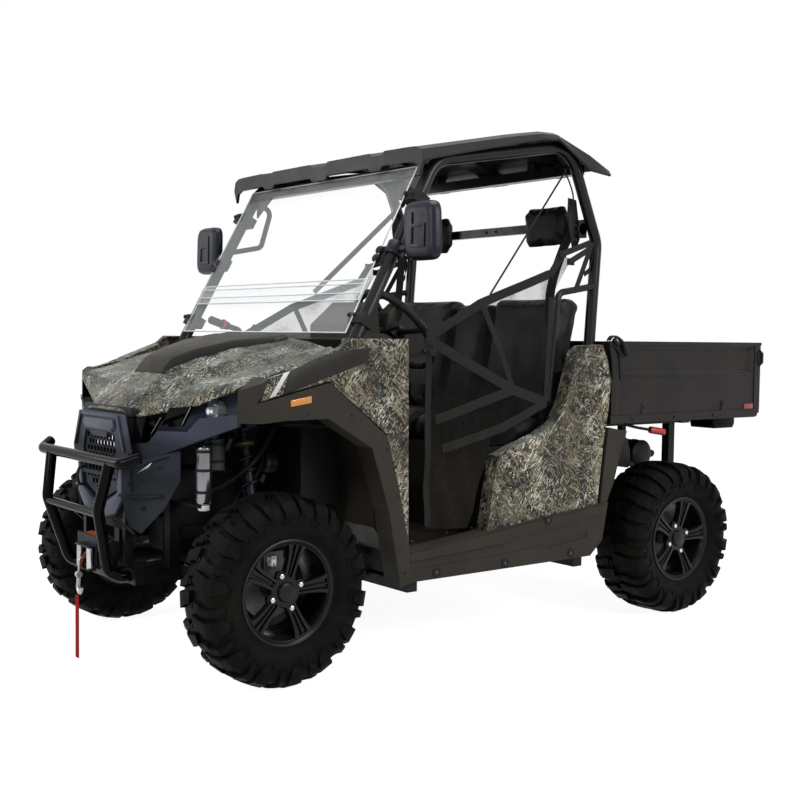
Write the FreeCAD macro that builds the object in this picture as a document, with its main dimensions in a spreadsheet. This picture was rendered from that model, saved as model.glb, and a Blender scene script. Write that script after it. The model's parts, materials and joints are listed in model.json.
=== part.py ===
import FreeCAD, Part
import math
import os

# Side by side utility vehicle. Millimetres, +Z up, nose towards -Y, driver's side +X.
# Distances "behind" are measured rearwards from the front axle.

Vector = FreeCAD.Vector
Rotation = FreeCAD.Rotation
Placement = FreeCAD.Placement
X_AXIS = Vector(1, 0, 0)
Y_AXIS = Vector(0, 1, 0)
Z_AXIS = Vector(0, 0, 1)

doc = FreeCAD.newDocument("SideBySide")
sheet = doc.addObject("Spreadsheet::Sheet", "Sizes")
nodes = {}
sheet_rows = []


def size(alias, number, meaning):
    """Write one driving dimension into the sheet and give its value back."""
    sheet_rows.append(alias)
    row = len(sheet_rows)
    sheet.set(f"A{row}", meaning)
    sheet.set(f"B{row}", str(number))
    sheet.setAlias(f"B{row}", alias)
    return float(number)


FRONT_AXLE = size("front_axle", -1027.5, "front axle along the machine")
WHEELBASE = size("wheelbase", 1902, "front axle to rear axle")
WHEEL_RADIUS = size("wheel_radius", 315, "axle height, out to the lug tips")
FRONT_HALF_TRACK = size("front_half_track", 590, "centre plane to front tyre centre")
REAR_HALF_TRACK = size("rear_half_track", 610, "centre plane to rear tyre centre")
FRONT_TYRE_HALF = size("front_tyre_half", 100, "half width of a front tyre")
REAR_TYRE_HALF = size("rear_tyre_half", 120, "half width of a rear tyre")
RIM_LIP = size("rim_lip", 173, "radius of a wheel's lip")
BEAD_RADIUS = size("bead_radius", 156, "radius where the tyre sits on the wheel")
KINGPIN_X = size("kingpin_x", 520, "centre plane to steering pivot")
CAGE_TUBE = size("cage_tube", 45, "outer diameter of the roll cage tube")
HIP_TUBE = size("hip_tube", 26, "outer diameter of the hip bar tube")
BUMPER_TUBE = size("bumper_tube", 38, "outer diameter of the bumper tube")
CAGE_X = size("cage_x", 585, "centre plane to the side hoop")
SKIN = size("skin", 5, "wall of the moulded body panels")
PANEL_X = size("panel_x", 680, "outer face of the rocker panel")
PANEL_DEPTH = size("panel_depth", 70, "depth of the side panels across the machine")
BED_HALF = size("bed_half", 660, "half width of the cargo bed")
BED_WALL = size("bed_wall", 28, "wall of the cargo bed")
GLAZING = size("glazing", 5, "windshield sheet")
RAIL = size("rail", 50, "side of the square frame rails")
RAIL_X = size("rail_x", 200, "centre plane to a frame rail")
FLOOR_SHEET = size("floor_sheet", 6, "cab floor sheet")
SEAT_WIDTH = size("seat_width", 1090, "width of the bench")
STEERING_RIM = size("steering_rim", 175, "steering wheel rim radius")
doc.recompute()

REAR_AXLE = FRONT_AXLE + WHEELBASE


def behind(distance):
    """Row-frame Y of a place that lies this far behind the front axle."""
    return FRONT_AXLE + distance


def at_places(pairs):
    """Side outline written as (distance behind the front axle, height)."""
    return [(behind(distance), height) for distance, height in pairs]


def keep(name, thing):
    """Register a finished sub-part under its node name."""
    thing.Label = name
    nodes[name] = thing
    return thing


def bind(thing, prop, value):
    """Set a length from a number, or bind it when it is a formula on the sheet."""
    if isinstance(value, str):
        thing.setExpression(prop, value)
    else:
        setattr(thing, prop, value)


def box(low, high, length=None, width=None, height=None):
    """Box between two corners; a side may be bound to the sheet instead."""
    block = doc.addObject("Part::Box", "Block")
    bind(block, "Length", length or high[0] - low[0])
    bind(block, "Width", width or high[1] - low[1])
    bind(block, "Height", height or high[2] - low[2])
    block.Placement = Placement(Vector(*low), Rotation())
    return block


def pair_of_boxes(low, high):
    """The same box on both sides of the centre plane."""
    other_low = (-high[0], low[1], low[2])
    other_high = (-low[0], high[1], high[2])
    return [box(low, high), box(other_low, other_high)]


def rod(start, end, radius):
    """Round bar from one point to another."""
    start = Vector(*start)
    reach = Vector(*end) - start
    bar = doc.addObject("Part::Cylinder", "Bar")
    bind(bar, "Radius", radius)
    bar.Height = reach.Length
    bar.Placement = Placement(start, Rotation(Z_AXIS, reach))
    return bar


def cone(start, end, radius_start, radius_end):
    """Tapered round bar."""
    start = Vector(*start)
    reach = Vector(*end) - start
    bar = doc.addObject("Part::Cone", "Taper")
    bar.Radius1 = radius_start
    bar.Radius2 = radius_end
    bar.Height = reach.Length
    bar.Placement = Placement(start, Rotation(Z_AXIS, reach))
    return bar


def weld(parts):
    joined = doc.addObject("Part::MultiFuse", "Weld")
    joined.Shapes = parts
    joined.Refine = True
    return joined


def group(parts):
    """Several solids kept side by side as one sub-part."""
    together = doc.addObject("Part::Compound", "Group")
    together.Links = parts
    return together


def cut(base, tool):
    less = doc.addObject("Part::Cut", "Cut")
    less.Base = base
    less.Tool = tool
    return less


def mirrored(source):
    """The same piece on the other side of the machine."""
    other = doc.addObject("Part::Mirroring", "OtherSide")
    other.Source = source
    other.Normal = X_AXIS
    other.Base = Vector(0, 0, 0)
    return other


def both_sides(source):
    return group([source, mirrored(source)])


def sketch_outline(body, role, start, points):
    """Closed outline on one of the body's own origin planes, moved along its normal."""
    plane = next(f for f in body.Origin.OriginFeatures if f.Role == role)
    sketch = body.newObject("Sketcher::SketchObject", "Outline")
    sketch.AttachmentSupport = [(plane, "")]
    sketch.MapMode = "FlatFace"
    if isinstance(start, str):
        sketch.setExpression("AttachmentOffset.Base.z", start)
    else:
        sketch.AttachmentOffset = Placement(Vector(0, 0, start), Rotation())
    corners = [Vector(u, v, 0) for u, v in points]
    for first, second in zip(corners, corners[1:] + corners[:1]):
        sketch.addGeometry(Part.LineSegment(first, second), False)
    return sketch


def prism(role, start, length, points, hollow=None, hollow_depth=None):
    """Padded outline; a second outline may be pocketed out from the starting side."""
    body = doc.addObject("PartDesign::Body", "Body")
    pad = body.newObject("PartDesign::Pad", "Pad")
    pad.Profile = sketch_outline(body, role, start, points)
    bind(pad, "Length", length)
    body.Tip = pad
    if hollow:
        pocket = body.newObject("PartDesign::Pocket", "Hollow")
        pocket.Profile = sketch_outline(body, role, start, hollow)
        bind(pocket, "Length", hollow_depth)
        pocket.Reversed = True
        body.Tip = pocket
    return body


def side_prism(x_start, width, points, hollow=None, hollow_depth=None):
    """Outline seen from the side, (distance behind, height), padded towards +X."""
    hollow_points = at_places(hollow) if hollow else None
    return prism("YZ_Plane", x_start, width, at_places(points), hollow_points, hollow_depth)


def wall_panel(start, end, outline, thickness):
    """Upright panel between two plan corners (x, distance), written as (run along it, height)."""
    run = Vector(end[0] - start[0], end[1] - start[1], 0)
    panel = prism("XZ_Plane", -thickness, thickness, outline)
    panel.Placement = Placement(Vector(start[0], behind(start[1]), 0), Rotation(X_AXIS, run))
    return panel


def plan_prism(corners, shift):
    """Upright block over plan corners written (x, distance), moved rearwards by a shift."""
    return prism("XY_Plane", 700, 400, [(x, behind(distance + shift)) for x, distance in corners])


def inset(points, margin):
    """Outline moved inwards by a margin, for convex or gently bent outlines."""
    area = sum(a[0] * b[1] - b[0] * a[1] for a, b in zip(points, points[1:] + points[:1]))
    turn = 1 if area > 0 else -1
    moved = []
    for i, point in enumerate(points):
        before, after = points[i - 1], points[(i + 1) % len(points)]
        first = Vector(point[0] - before[0], point[1] - before[1], 0).normalize()
        second = Vector(after[0] - point[0], after[1] - point[1], 0).normalize()
        normal_one = Vector(-first.y, first.x, 0) * turn
        normal_two = Vector(-second.y, second.x, 0) * turn
        middle = (normal_one + normal_two).normalize()
        reach = margin / max(middle.dot(normal_one), 0.35)
        moved.append((point[0] + middle.x * reach, point[1] + middle.y * reach))
    return moved


def bent_path(points, bend):
    """Straight runs joined by tangent arcs, each as large as its runs allow."""
    corners = [Vector(*p) for p in points]
    edges = []
    here = corners[0]
    for before, corner, after in zip(corners, corners[1:], corners[2:]):
        back = (before - corner).normalize()
        onward = (after - corner).normalize()
        half_turn = (math.pi - back.getAngle(onward)) / 2
        room = 0.45 * min((before - corner).Length, (after - corner).Length)
        reach = min(bend * math.tan(half_turn), room)
        radius = reach / math.tan(half_turn)
        start = corner + back * reach
        end = corner + onward * reach
        centre = corner + (back + onward).normalize() * math.hypot(radius, reach)
        middle = centre + (corner - centre).normalize() * radius
        edges.append(Part.LineSegment(here, start).toShape())
        edges.append(Part.Arc(start, middle, end).toShape())
        here = end
    edges.append(Part.LineSegment(here, corners[-1]).toShape())
    return Part.Wire(edges)


def tube(points, bend, diameter):
    """Bent round tube, its diameter a number or a formula on the sheet."""
    spine = doc.addObject("Part::Feature", "Spine")
    spine.Shape = bent_path(points, bend)
    first, second = Vector(*points[0]), Vector(*points[1])
    ring = doc.addObject("Part::Circle", "Ring")
    bind(ring, "Radius", f"({diameter}) / 2" if isinstance(diameter, str) else diameter / 2)
    ring.Placement = Placement(first, Rotation(Z_AXIS, second - first))
    bar = doc.addObject("Part::Sweep", "Tube")
    bar.Sections = [ring]
    bar.Spine = (spine, [f"Edge{i + 1}" for i in range(len(spine.Shape.Edges))])
    bar.Solid = True
    bar.Frenet = False
    return bar


def section(points):
    """Closed polygon in space, one station of a loft."""
    ring = doc.addObject("Part::Feature", "Station")
    ring.Shape = Part.makePolygon([Vector(*p) for p in points + points[:1]])
    return ring


def loft(stations):
    """Ruled solid through polygons with equal numbers of corners."""
    solid = doc.addObject("Part::Loft", "Loft")
    solid.Sections = [section(points) for points in stations]
    solid.Solid = True
    solid.Ruled = True
    return solid


def shell_stations(lines, wall):
    """Turn open lines across the machine into thin closed stations of one wall thickness.

    A line is (distance behind, [(x, z), ...]) from one edge to the other, and the wall
    goes downwards.
    """
    stations = []
    for distance, line in lines:
        y = behind(distance)
        outer = [(x, y, z) for x, z in line]
        inner = [(x * 0.992, y, z - wall) for x, z in reversed(line)]
        stations.append(outer + inner)
    return stations


def across(half_line):
    """Complete a half line, written from the centre outwards, to both sides."""
    return [(-x, z) for x, z in reversed(half_line) if x > 0] + list(half_line)


def ring_solid(profile, sides):
    """Many-sided ring about the X axis from a closed (x, radius) profile."""
    step = 2 * math.pi / sides
    turned = [
        [Vector(x, r * math.cos(k * step), r * math.sin(k * step)) for x, r in profile]
        for k in range(sides)
    ]
    faces = []
    for k in range(sides):
        this, following = turned[k], turned[(k + 1) % sides]
        for i in range(len(profile)):
            j = (i + 1) % len(profile)
            corners = [this[i], this[j], following[j], following[i], this[i]]
            faces.append(Part.Face(Part.makePolygon(corners)))
    solid = Part.makeSolid(Part.makeShell(faces))
    if solid.Volume < 0:
        solid.reverse()
    return solid


# Tyres

LUGS = 16
LUG_LENGTH = 62
LUG_SKEW = 16
LUG_RELIEF = 1.9
CARCASS_SIDES = 24


def make_tyre(half_width):
    """Lugged tyre about the X axis, its outer side towards +X."""
    tread = WHEEL_RADIUS - 17
    half_profile = [
        (half_width - 24, BEAD_RADIUS + 2.2),
        (half_width - 24, RIM_LIP + 4),
        (half_width, WHEEL_RADIUS - 88),
        (half_width - 14, WHEEL_RADIUS - 30),
    ]
    other_half = [(-x, r) for x, r in reversed(half_profile)]
    carcass = ring_solid(half_profile + other_half, CARCASS_SIDES)
    lug_top = WHEEL_RADIUS - LUG_RELIEF
    lug_outline = [
        (4, tread - 8),
        (4, lug_top),
        (half_width - 26, lug_top),
        (half_width + 1, WHEEL_RADIUS - 32),
        (half_width + 2, WHEEL_RADIUS - 62),
        (half_width - 16, WHEEL_RADIUS - 60),
    ]
    lugs = []
    pitch = 360.0 / LUGS
    for side in (1, -1):
        corners = [Vector(side * x, -LUG_LENGTH / 2, r) for x, r in lug_outline]
        lug = Part.Face(Part.makePolygon(corners + corners[:1])).extrude(Y_AXIS * LUG_LENGTH)
        lug.rotate(Vector(side * half_width / 2, 0, 0), Z_AXIS, side * LUG_SKEW)
        offset = 0 if side > 0 else pitch / 2
        for k in range(LUGS):
            copy = lug.copy()
            copy.rotate(Vector(0, 0, 0), X_AXIS, 180 + offset + k * pitch)
            lugs.append(copy)
    return carcass.multiFuse(lugs)


# Wheels

SPOKES = 5
SPOKE_TURN = -12


def make_rim(half_width):
    """Cast wheel with paired spokes, its outer side towards +X."""
    lip = half_width - 17
    body = doc.addObject("PartDesign::Body", "Rim")
    barrel = body.newObject("PartDesign::Revolution", "Barrel")
    outline = [
        (-lip, RIM_LIP - 4),
        (-lip, BEAD_RADIUS - 8),
        (lip - 16, BEAD_RADIUS - 8),
        (lip, BEAD_RADIUS + 2),
        (lip, RIM_LIP),
        (lip - 5, RIM_LIP),
        (lip - 5, BEAD_RADIUS),
        (-lip + 5, BEAD_RADIUS),
        (-lip + 5, RIM_LIP - 4),
    ]
    barrel.Profile = sketch_outline(body, "XY_Plane", 0, outline)
    barrel.ReferenceAxis = (next(f for f in body.Origin.OriginFeatures if f.Role == "X_Axis"), [""])
    barrel.Angle = 360
    body.Tip = barrel
    hub = rod((lip - 52, 0, 0), (lip - 18, 0, 0), 52)
    cap = rod((lip - 18.5, 0, 0), (lip - 6, 0, 0), 30)
    spokes = []
    for k in range(SPOKES):
        for side in (-1, 1):
            spoke = loft([
                [(lip - 44, side * 10 + w, 40) for w in (-10, 10)]
                + [(lip - 18, side * 10 + w, 40) for w in (9, -9)],
                [(lip - 28, side * 22 + w, BEAD_RADIUS - 4) for w in (-9, 9)]
                + [(lip - 8, side * 22 + w, BEAD_RADIUS - 4) for w in (8, -8)],
            ])
            spoke.Placement = Placement(Vector(0, 0, 0), Rotation(X_AXIS, SPOKE_TURN + 72 * k))
            spokes.append(spoke)
    return weld([body, hub, cap] + spokes)


def place_wheel(source, name, x, y):
    """Set a wheel piece on its axle; the far side is its mirror image."""
    holder = group([source])
    holder.Placement = Placement(Vector(abs(x), y, WHEEL_RADIUS), Rotation())
    if x < 0:
        holder = mirrored(holder)
    keep(name, holder)


def make_wheels():
    for end, half_width, half_track, y in (
        ("front", FRONT_TYRE_HALF, FRONT_HALF_TRACK, FRONT_AXLE),
        ("rear", REAR_TYRE_HALF, REAR_HALF_TRACK, REAR_AXLE),
    ):
        tyre = doc.addObject("Part::Feature", "Tyre")
        tyre.Shape = make_tyre(half_width)
        rim = make_rim(half_width)
        for side, x in (("left", half_track), ("right", -half_track)):
            place_wheel(tyre, f"tyre_{end}_{side}", x, y)
            place_wheel(rim, f"rim_{end}_{side}", x, y)


# Frame, floor and drive line

RAIL_BOTTOM = 300
OUTRIGGER_LOW = 250
OUTRIGGER_TOP = 286
ROCKER_LOW = 292
FLOOR_LEVEL = 385
CASING_LOW = 360
FRAME_FRONT = -320
FRAME_REAR = 2330
UPPER_RAIL_TOP = 798
UPPER_RAIL_X = 300
HITCH_Z = 330
RECEIVER_HALF = 32
RECEIVER_BORE = 50.8
PIN_RADIUS = 8


def make_frame():
    """Ladder frame with its outriggers, floor bearers and winch tray; every member butts on the next."""
    half = RAIL / 2
    inner = RAIL_X - half
    low, top = RAIL_BOTTOM, RAIL_BOTTOM + RAIL
    parts = []
    for x in (RAIL_X, -RAIL_X):
        parts.append(box((x - half, behind(FRAME_FRONT), low), (x + half, behind(FRAME_REAR), low),
                         length="Sizes.rail", height="Sizes.rail"))
    for distance in (FRAME_FRONT, 420, 1340):
        parts.append(box((-inner, behind(distance), low), (inner, behind(distance + 40), low + 40)))
    for distance in (0, WHEELBASE):
        parts.append(box((-inner, behind(distance - 20), low + 10), (inner, behind(distance + 20), CASING_LOW)))
    for distance in (500, 1330):
        rear = distance + 45
        parts.append(box((-650, behind(distance), OUTRIGGER_LOW), (650, behind(rear), OUTRIGGER_TOP)))
        parts.append(box((-RAIL_X, behind(distance), OUTRIGGER_TOP), (RAIL_X, behind(rear), low)))
        parts += pair_of_boxes((612, behind(distance), OUTRIGGER_TOP), (650, behind(rear), ROCKER_LOW))
    for distance in (505, 890):
        parts.append(box((-560, behind(distance), top), (560, behind(distance + 35), FLOOR_LEVEL)))
    parts.append(box((-603, behind(1388), top), (603, behind(1480), FLOOR_LEVEL + FLOOR_SHEET)))
    parts.append(box((-110, behind(-388), low + 40), (110, behind(FRAME_FRONT + 40), low + 46)))
    parts += pair_of_boxes((RECEIVER_HALF, behind(2290), low), (inner, behind(FRAME_REAR), low + 40))
    keep("chassis_frame", group(parts))


def make_hitch_receiver():
    """Square receiver tube of four plates and its stop, with the cross hole for the pin."""
    front, mouth, rear = behind(2270), behind(2300), behind(2440)
    outer, bore = RECEIVER_HALF, RECEIVER_BORE / 2
    stop = box((-outer, front, HITCH_Z - outer), (outer, mouth, HITCH_Z + outer))
    lower = box((-outer, mouth, HITCH_Z - outer), (outer, rear, HITCH_Z - bore))
    upper = box((-outer, mouth, HITCH_Z + bore), (outer, rear, HITCH_Z + outer))
    plates = [stop, lower, upper]
    for side in pair_of_boxes((bore, mouth, HITCH_Z - bore), (outer, rear, HITCH_Z + bore)):
        pin = rod((-60, behind(2405), HITCH_Z), (60, behind(2405), HITCH_Z), PIN_RADIUS)
        plates.append(cut(side, pin))
    keep("hitch_receiver", group(plates))


def make_front_tower():
    """Shock tower over the front axle, with the nose posts, the cowl beam and the unit shelves."""
    rail_top = RAIL_BOTTOM + RAIL
    inner, outer = RAIL_X - 20, RAIL_X + 20
    parts = [box((-330, behind(42), 820), (330, behind(82), 860))]
    for distance in (-190, 110):
        parts += pair_of_boxes((inner, behind(distance), rail_top), (outer, behind(distance + 40), 840))
    parts += pair_of_boxes((inner, behind(-190), 800), (outer, behind(232), 840))
    parts += pair_of_boxes((inner, behind(-150), UPPER_PIVOT_Z - 20), (RAIL_X + 25, behind(110), UPPER_PIVOT_Z + 20))
    parts += pair_of_boxes((261, behind(SHOCK_SET - 14), 807.5), (289, behind(SHOCK_SET + 14), 820))
    parts += pair_of_boxes((150, behind(-318), RAIL_BOTTOM + 40), (170, behind(-300), 362))
    parts += pair_of_boxes((150, behind(-330), 360), (170, behind(-300), 862))
    parts += pair_of_boxes((152, behind(-302), 804), (169, behind(-154), 830))
    parts += pair_of_boxes((150, behind(-186), 804), (inner + 5, behind(-154), 830))
    parts += pair_of_boxes((inner, behind(192), 838), (outer, behind(232), 907))
    parts.append(box((-582, behind(192), 905), (582, behind(232), 934)))
    parts.append(box((outer - 1, behind(-185), 572), (412, behind(-135), 580)))
    parts.append(box((inner, behind(-155), 684), (366, behind(-58), 690)))
    parts.append(box((inner, behind(110), 552), (outer, behind(345), 560)))
    parts.append(box((outer - 1, behind(195), 552), (440, behind(345), 560)))
    keep("front_tower", weld(parts))


def make_rear_frame():
    """Bed carriers on four posts, with the rear arm brackets and the muffler hanger."""
    rail_top = RAIL_BOTTOM + RAIL
    low_x, high_x = UPPER_RAIL_X - 20, UPPER_RAIL_X + 20
    rail_low = UPPER_RAIL_TOP - 40
    rear_shock = WHEELBASE - SHOCK_SET
    parts = pair_of_boxes((low_x, behind(1490), rail_low), (high_x, behind(2400), UPPER_RAIL_TOP))
    for distance in (1500, 2290):
        parts += pair_of_boxes((low_x, behind(distance), RAIL_BOTTOM), (high_x, behind(distance + 40), rail_low + 2))
        parts += pair_of_boxes((RAIL_X + RAIL / 2, behind(distance), RAIL_BOTTOM),
                               (low_x + 2, behind(distance + 40), rail_top))
    parts.append(box((-high_x, behind(1794), rail_low), (high_x, behind(1834), UPPER_RAIL_TOP)))
    parts += pair_of_boxes((286, behind(rear_shock - 14), 749.2), (314, behind(rear_shock + 14), rail_low + 1))
    parts.append(box((285, behind(1978), 702), (315, behind(2002), rail_low + 1)))
    carriers = []
    for side in (-1, 1):
        legs = [box((side * 205 - 20, behind(WHEELBASE + d), rail_top),
                    (side * 205 + 20, behind(WHEELBASE + d + 20), UPPER_PIVOT_Z + 20)) for d in (-40, 20)]
        bridge = box((side * 205 - 20, behind(WHEELBASE - 40), UPPER_PIVOT_Z - 20),
                     (side * 205 + 20, behind(WHEELBASE + 40), UPPER_PIVOT_Z + 20))
        carriers.append(weld(legs + [bridge]))
    keep("rear_frame", group([weld(parts)] + carriers))


def make_skid_plate():
    """Belly plate under the front tower, turned up at the nose."""
    profile = [(-350, 334), (-326, 294), (465, 294), (465, 300), (-322, 300), (-344, 337)]
    keep("skid_plate", side_prism(-140, 280, profile))


def make_floor():
    """Cab floor with its toe board and firewall, folded from one sheet."""
    floor_z, top = FLOOR_LEVEL, FLOOR_LEVEL + FLOOR_SHEET
    profile = [
        (970, floor_z), (480, floor_z), (395, 480), (395, 1060), (401, 1060),
        (401, 483), (483, top), (970, top),
    ]
    keep("floor_pan", side_prism(-590, 1180, profile))


def make_engine():
    """Engine and gearbox under the seats, one plain mass at its real place."""
    keep("engine_block", box((-190, behind(975), RAIL_BOTTOM + RAIL), (190, behind(1385), 680)))


def make_muffler():
    canister = rod((150, behind(1990), 640), (430, behind(1990), 640), 62)
    tail = tube([(300, behind(1990), 640), (300, behind(2130), 640), (300, behind(2200), 620)], 60, 34)
    keep("muffler", weld([canister, tail]))


LOWER_PIVOT_Z = 335
UPPER_PIVOT_Z = 462
ARM_PIVOT_X = 244
BALL_STUD = 7
KNUCKLE_LOW = 260
KNUCKLE_HIGH = 412
DISC_SET = 26
SHOCK_SET = 62


def wishbone(y, half_base, z_in, z_out, stud, diameter):
    """A-shaped arm from two frame pivots to a ball joint on the kingpin line."""
    inner, outer = ARM_PIVOT_X, KINGPIN_X
    parts = []
    for side in (-1, 1):
        pivot = (inner, y + side * half_base, z_in)
        parts.append(rod(pivot, (outer, y + side * 6, z_out), diameter / 2))
        parts.append(rod((inner, pivot[1] - 18, z_in), (inner, pivot[1] + 18, z_in), 19))
    parts.append(rod((outer, y, z_out - 14), (outer, y, z_out + 14), 19))
    parts.append(rod((outer, y, z_out), (outer, y, z_out + stud), BALL_STUD))
    return weld(parts)


def make_suspension():
    """Double wishbones at both axles, with the rear hub carriers."""
    arms = []
    for y, lean in ((FRONT_AXLE, 1), (REAR_AXLE, -1)):
        low = wishbone(y, 130, LOWER_PIVOT_Z, KNUCKLE_LOW - 38, 48, 30)
        bracket = box((380, y + lean * SHOCK_SET - 16, 276), (404, y + lean * SHOCK_SET + 16, 306))
        arms.append(weld([low, bracket]))
        arms.append(wishbone(y, 22, UPPER_PIVOT_Z, KNUCKLE_HIGH + 19, -32, 24))
    carrier = side_prism(KINGPIN_X - 18, 36, [
        (WHEELBASE - 32, KNUCKLE_LOW), (WHEELBASE + 32, KNUCKLE_LOW), (WHEELBASE + 54, WHEEL_RADIUS),
        (WHEELBASE + 32, KNUCKLE_HIGH), (WHEELBASE - 32, KNUCKLE_HIGH), (WHEELBASE - 54, WHEEL_RADIUS),
    ])
    stub = rod((KINGPIN_X, REAR_AXLE, WHEEL_RADIUS), (REAR_HALF_TRACK, REAR_AXLE, WHEEL_RADIUS), 36)
    disc_x = KINGPIN_X + DISC_SET
    disc = rod((disc_x, REAR_AXLE, WHEEL_RADIUS), (disc_x + 6, REAR_AXLE, WHEEL_RADIUS), 105)
    parts = arms + [cut(weld([carrier, stub, disc]), stud_holes(KINGPIN_X, REAR_AXLE))]
    keep("suspension_arms", group(parts + [mirrored(part) for part in parts]))


def coil_over(top, bottom, coil_radius, turns):
    """Damper with its spring, drawn as a stack of rounded coils about one axis."""
    body = doc.addObject("PartDesign::Body", "CoilOver")
    reach = (Vector(*bottom) - Vector(*top)).Length
    spring_top, spring_bottom = 34, reach - 70
    pitch = (spring_bottom - spring_top) / turns
    outline = [(0, 0), (0, 14), (18, 14), (18, 26), (26, coil_radius + 3), (spring_top, coil_radius + 3)]
    for k in range(turns):
        start = spring_top + k * pitch
        outline.append((start + 0.28 * pitch, coil_radius - 11))
        outline.append((start + 0.46 * pitch, coil_radius))
        outline.append((start + 0.78 * pitch, coil_radius))
    outline += [
        (spring_bottom, coil_radius - 11), (spring_bottom + 4, coil_radius + 2),
        (spring_bottom + 14, coil_radius + 2), (spring_bottom + 16, 17), (reach - 16, 17),
        (reach - 16, 13), (reach, 13), (reach, 0),
    ]
    turned = body.newObject("PartDesign::Revolution", "Coils")
    turned.Profile = sketch_outline(body, "XY_Plane", 0, outline)
    turned.ReferenceAxis = (next(f for f in body.Origin.OriginFeatures if f.Role == "X_Axis"), [""])
    turned.Angle = 360
    body.Tip = turned
    body.Placement = Placement(Vector(*top), Rotation(X_AXIS, Vector(*bottom) - Vector(*top)))
    return body


def make_shocks():
    """One coil-over a wheel, behind the front shafts and ahead of the rear ones."""
    front_y, rear_y = FRONT_AXLE + SHOCK_SET, REAR_AXLE - SHOCK_SET
    front = coil_over((275, front_y, 804), (392, front_y, 309), 29, 9)
    rear = coil_over((300, rear_y, 746), (392, rear_y, 309), 30, 8)
    keep("shock_absorbers", group([front, rear, mirrored(front), mirrored(rear)]))


def stud_holes(x, y):
    """Two ball stud holes on the kingpin line, with running clearance."""
    return weld([
        rod((x, y, KNUCKLE_LOW - 5), (x, y, KNUCKLE_LOW + 16), BALL_STUD + 0.06),
        rod((x, y, KNUCKLE_HIGH - 16), (x, y, KNUCKLE_HIGH + 5), BALL_STUD + 0.06),
    ])


def make_drive_shafts():
    """Half shafts with their boots, butting on the two final drives."""
    parts = []
    reach = 478
    for y, half_depth, top in ((FRONT_AXLE, 100, 480), (REAR_AXLE, 115, 495)):
        low, high = (-120, y - half_depth, CASING_LOW), (120, y + half_depth, top)
        parts.append(box(low, high))
        for side in (-1, 1):
            inner = (side * 110, y, 410)
            outer = (side * reach, y, WHEEL_RADIUS + 6)
            shaft = weld([
                rod(inner, outer, 13),
                cone(inner, (side * 172, y, 396), 38, 18),
                cone((side * 455, y, WHEEL_RADIUS + 12), (side * 390, y, WHEEL_RADIUS + 29), 34, 17),
            ])
            parts.append(cut(shaft, box(low, high)))
    keep("drive_shafts", group(parts))


def make_knuckle(name, side):
    """Front hub carrier with its disc, calliper and stub axle."""
    x = KINGPIN_X * side
    upright = box((x - 18, FRONT_AXLE - 32, KNUCKLE_LOW), (x + 18, FRONT_AXLE + 32, KNUCKLE_HIGH))
    arm = box((x - 12, FRONT_AXLE + 20, 300), (x + 12, FRONT_AXLE + 110, 324))
    disc_x = x + side * DISC_SET
    disc = rod((disc_x, FRONT_AXLE, WHEEL_RADIUS), (disc_x + side * 6, FRONT_AXLE, WHEEL_RADIUS), 105)
    stub = rod((x, FRONT_AXLE, WHEEL_RADIUS), (side * FRONT_HALF_TRACK, FRONT_AXLE, WHEEL_RADIUS), 36)
    low = (min(x + side * 25, x + side * 46), FRONT_AXLE - 30, WHEEL_RADIUS + 62)
    high = (max(x + side * 25, x + side * 46), FRONT_AXLE + 44, WHEEL_RADIUS + 118)
    carrier = weld([upright, arm, disc, stub, box(low, high)])
    keep(name, cut(carrier, stud_holes(x, FRONT_AXLE)))


# Cage, roof and windshield

PILLAR_BASE = (300, 1125)
PILLAR_TOP = (655, 1765)
ROOF_REAR = (1330, 1885)
ROOF_WALL = 6
LOWER_PANE = 27
UPPER_PANE = 34
COLUMN_RADIUS = 24
REAR_PILLAR = (1492, 1520)
REAR_PILLAR_LOW = (1462, 1110)


def hoop_point(place, x=None):
    return (x or CAGE_X, behind(place[0]), place[1])


def make_cage_side(name, with_handle):
    """Side hoop from the cowl, over the door opening and down behind the seat."""
    hoop = tube([
        (CAGE_X - 25, behind(212), 945),
        hoop_point(PILLAR_BASE, CAGE_X + 15),
        hoop_point(PILLAR_TOP),
        hoop_point(ROOF_REAR),
        hoop_point(REAR_PILLAR),
        hoop_point(REAR_PILLAR_LOW),
        hoop_point((1440, 470)),
    ], 120, "Sizes.cage_tube")
    foot = box((CAGE_X - 45, behind(1400), FLOOR_LEVEL + FLOOR_SHEET), (CAGE_X + 18, behind(1480), 470))
    hip_bar = tube([
        (CAGE_X + 12, behind(1478), 1350), (CAGE_X + 20, behind(1262), 1315),
        (CAGE_X + 15, behind(1222), 905), (CAGE_X, behind(1290), 852), (CAGE_X, behind(1430), 850),
    ], 40, "Sizes.hip_tube")
    parts = [hoop, foot, hip_bar]
    if with_handle:
        parts.append(tube([
            hoop_point((628, 1700)), hoop_point((705, 1675)), hoop_point((655, 1515)), hoop_point((520, 1488)),
        ], 30, 22))
    side = weld(parts)
    keep(name, mirrored(side) if with_handle else side)


def make_cross_bars():
    """Header with its corner gussets, rear roof member and the drilled head restraint bar."""
    reach = CAGE_X - CAGE_TUBE / 2 - 0.05
    header = box((-reach, behind(612), 1712), (reach, behind(652), 1752))
    gussets = [
        prism("XZ_Plane", -behind(626), 6, [(side * reach, 1714), (side * 438, 1714), (side * reach, 1636)])
        for side in (-1, 1)
    ]
    rear = box((-reach, behind(1395), 1786), (reach, behind(1440), 1826))
    rest_bar = box((-reach, behind(1462), 1578), (reach, behind(1486), 1614))
    hole = rod((-30, behind(1450), 1596), (-30, behind(1500), 1596), 7)
    hole_two = rod((30, behind(1450), 1596), (30, behind(1500), 1596), 7)
    keep("cage_cross_bars", group([weld([header] + gussets), rear, cut(rest_bar, weld([hole, hole_two]))]))


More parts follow.
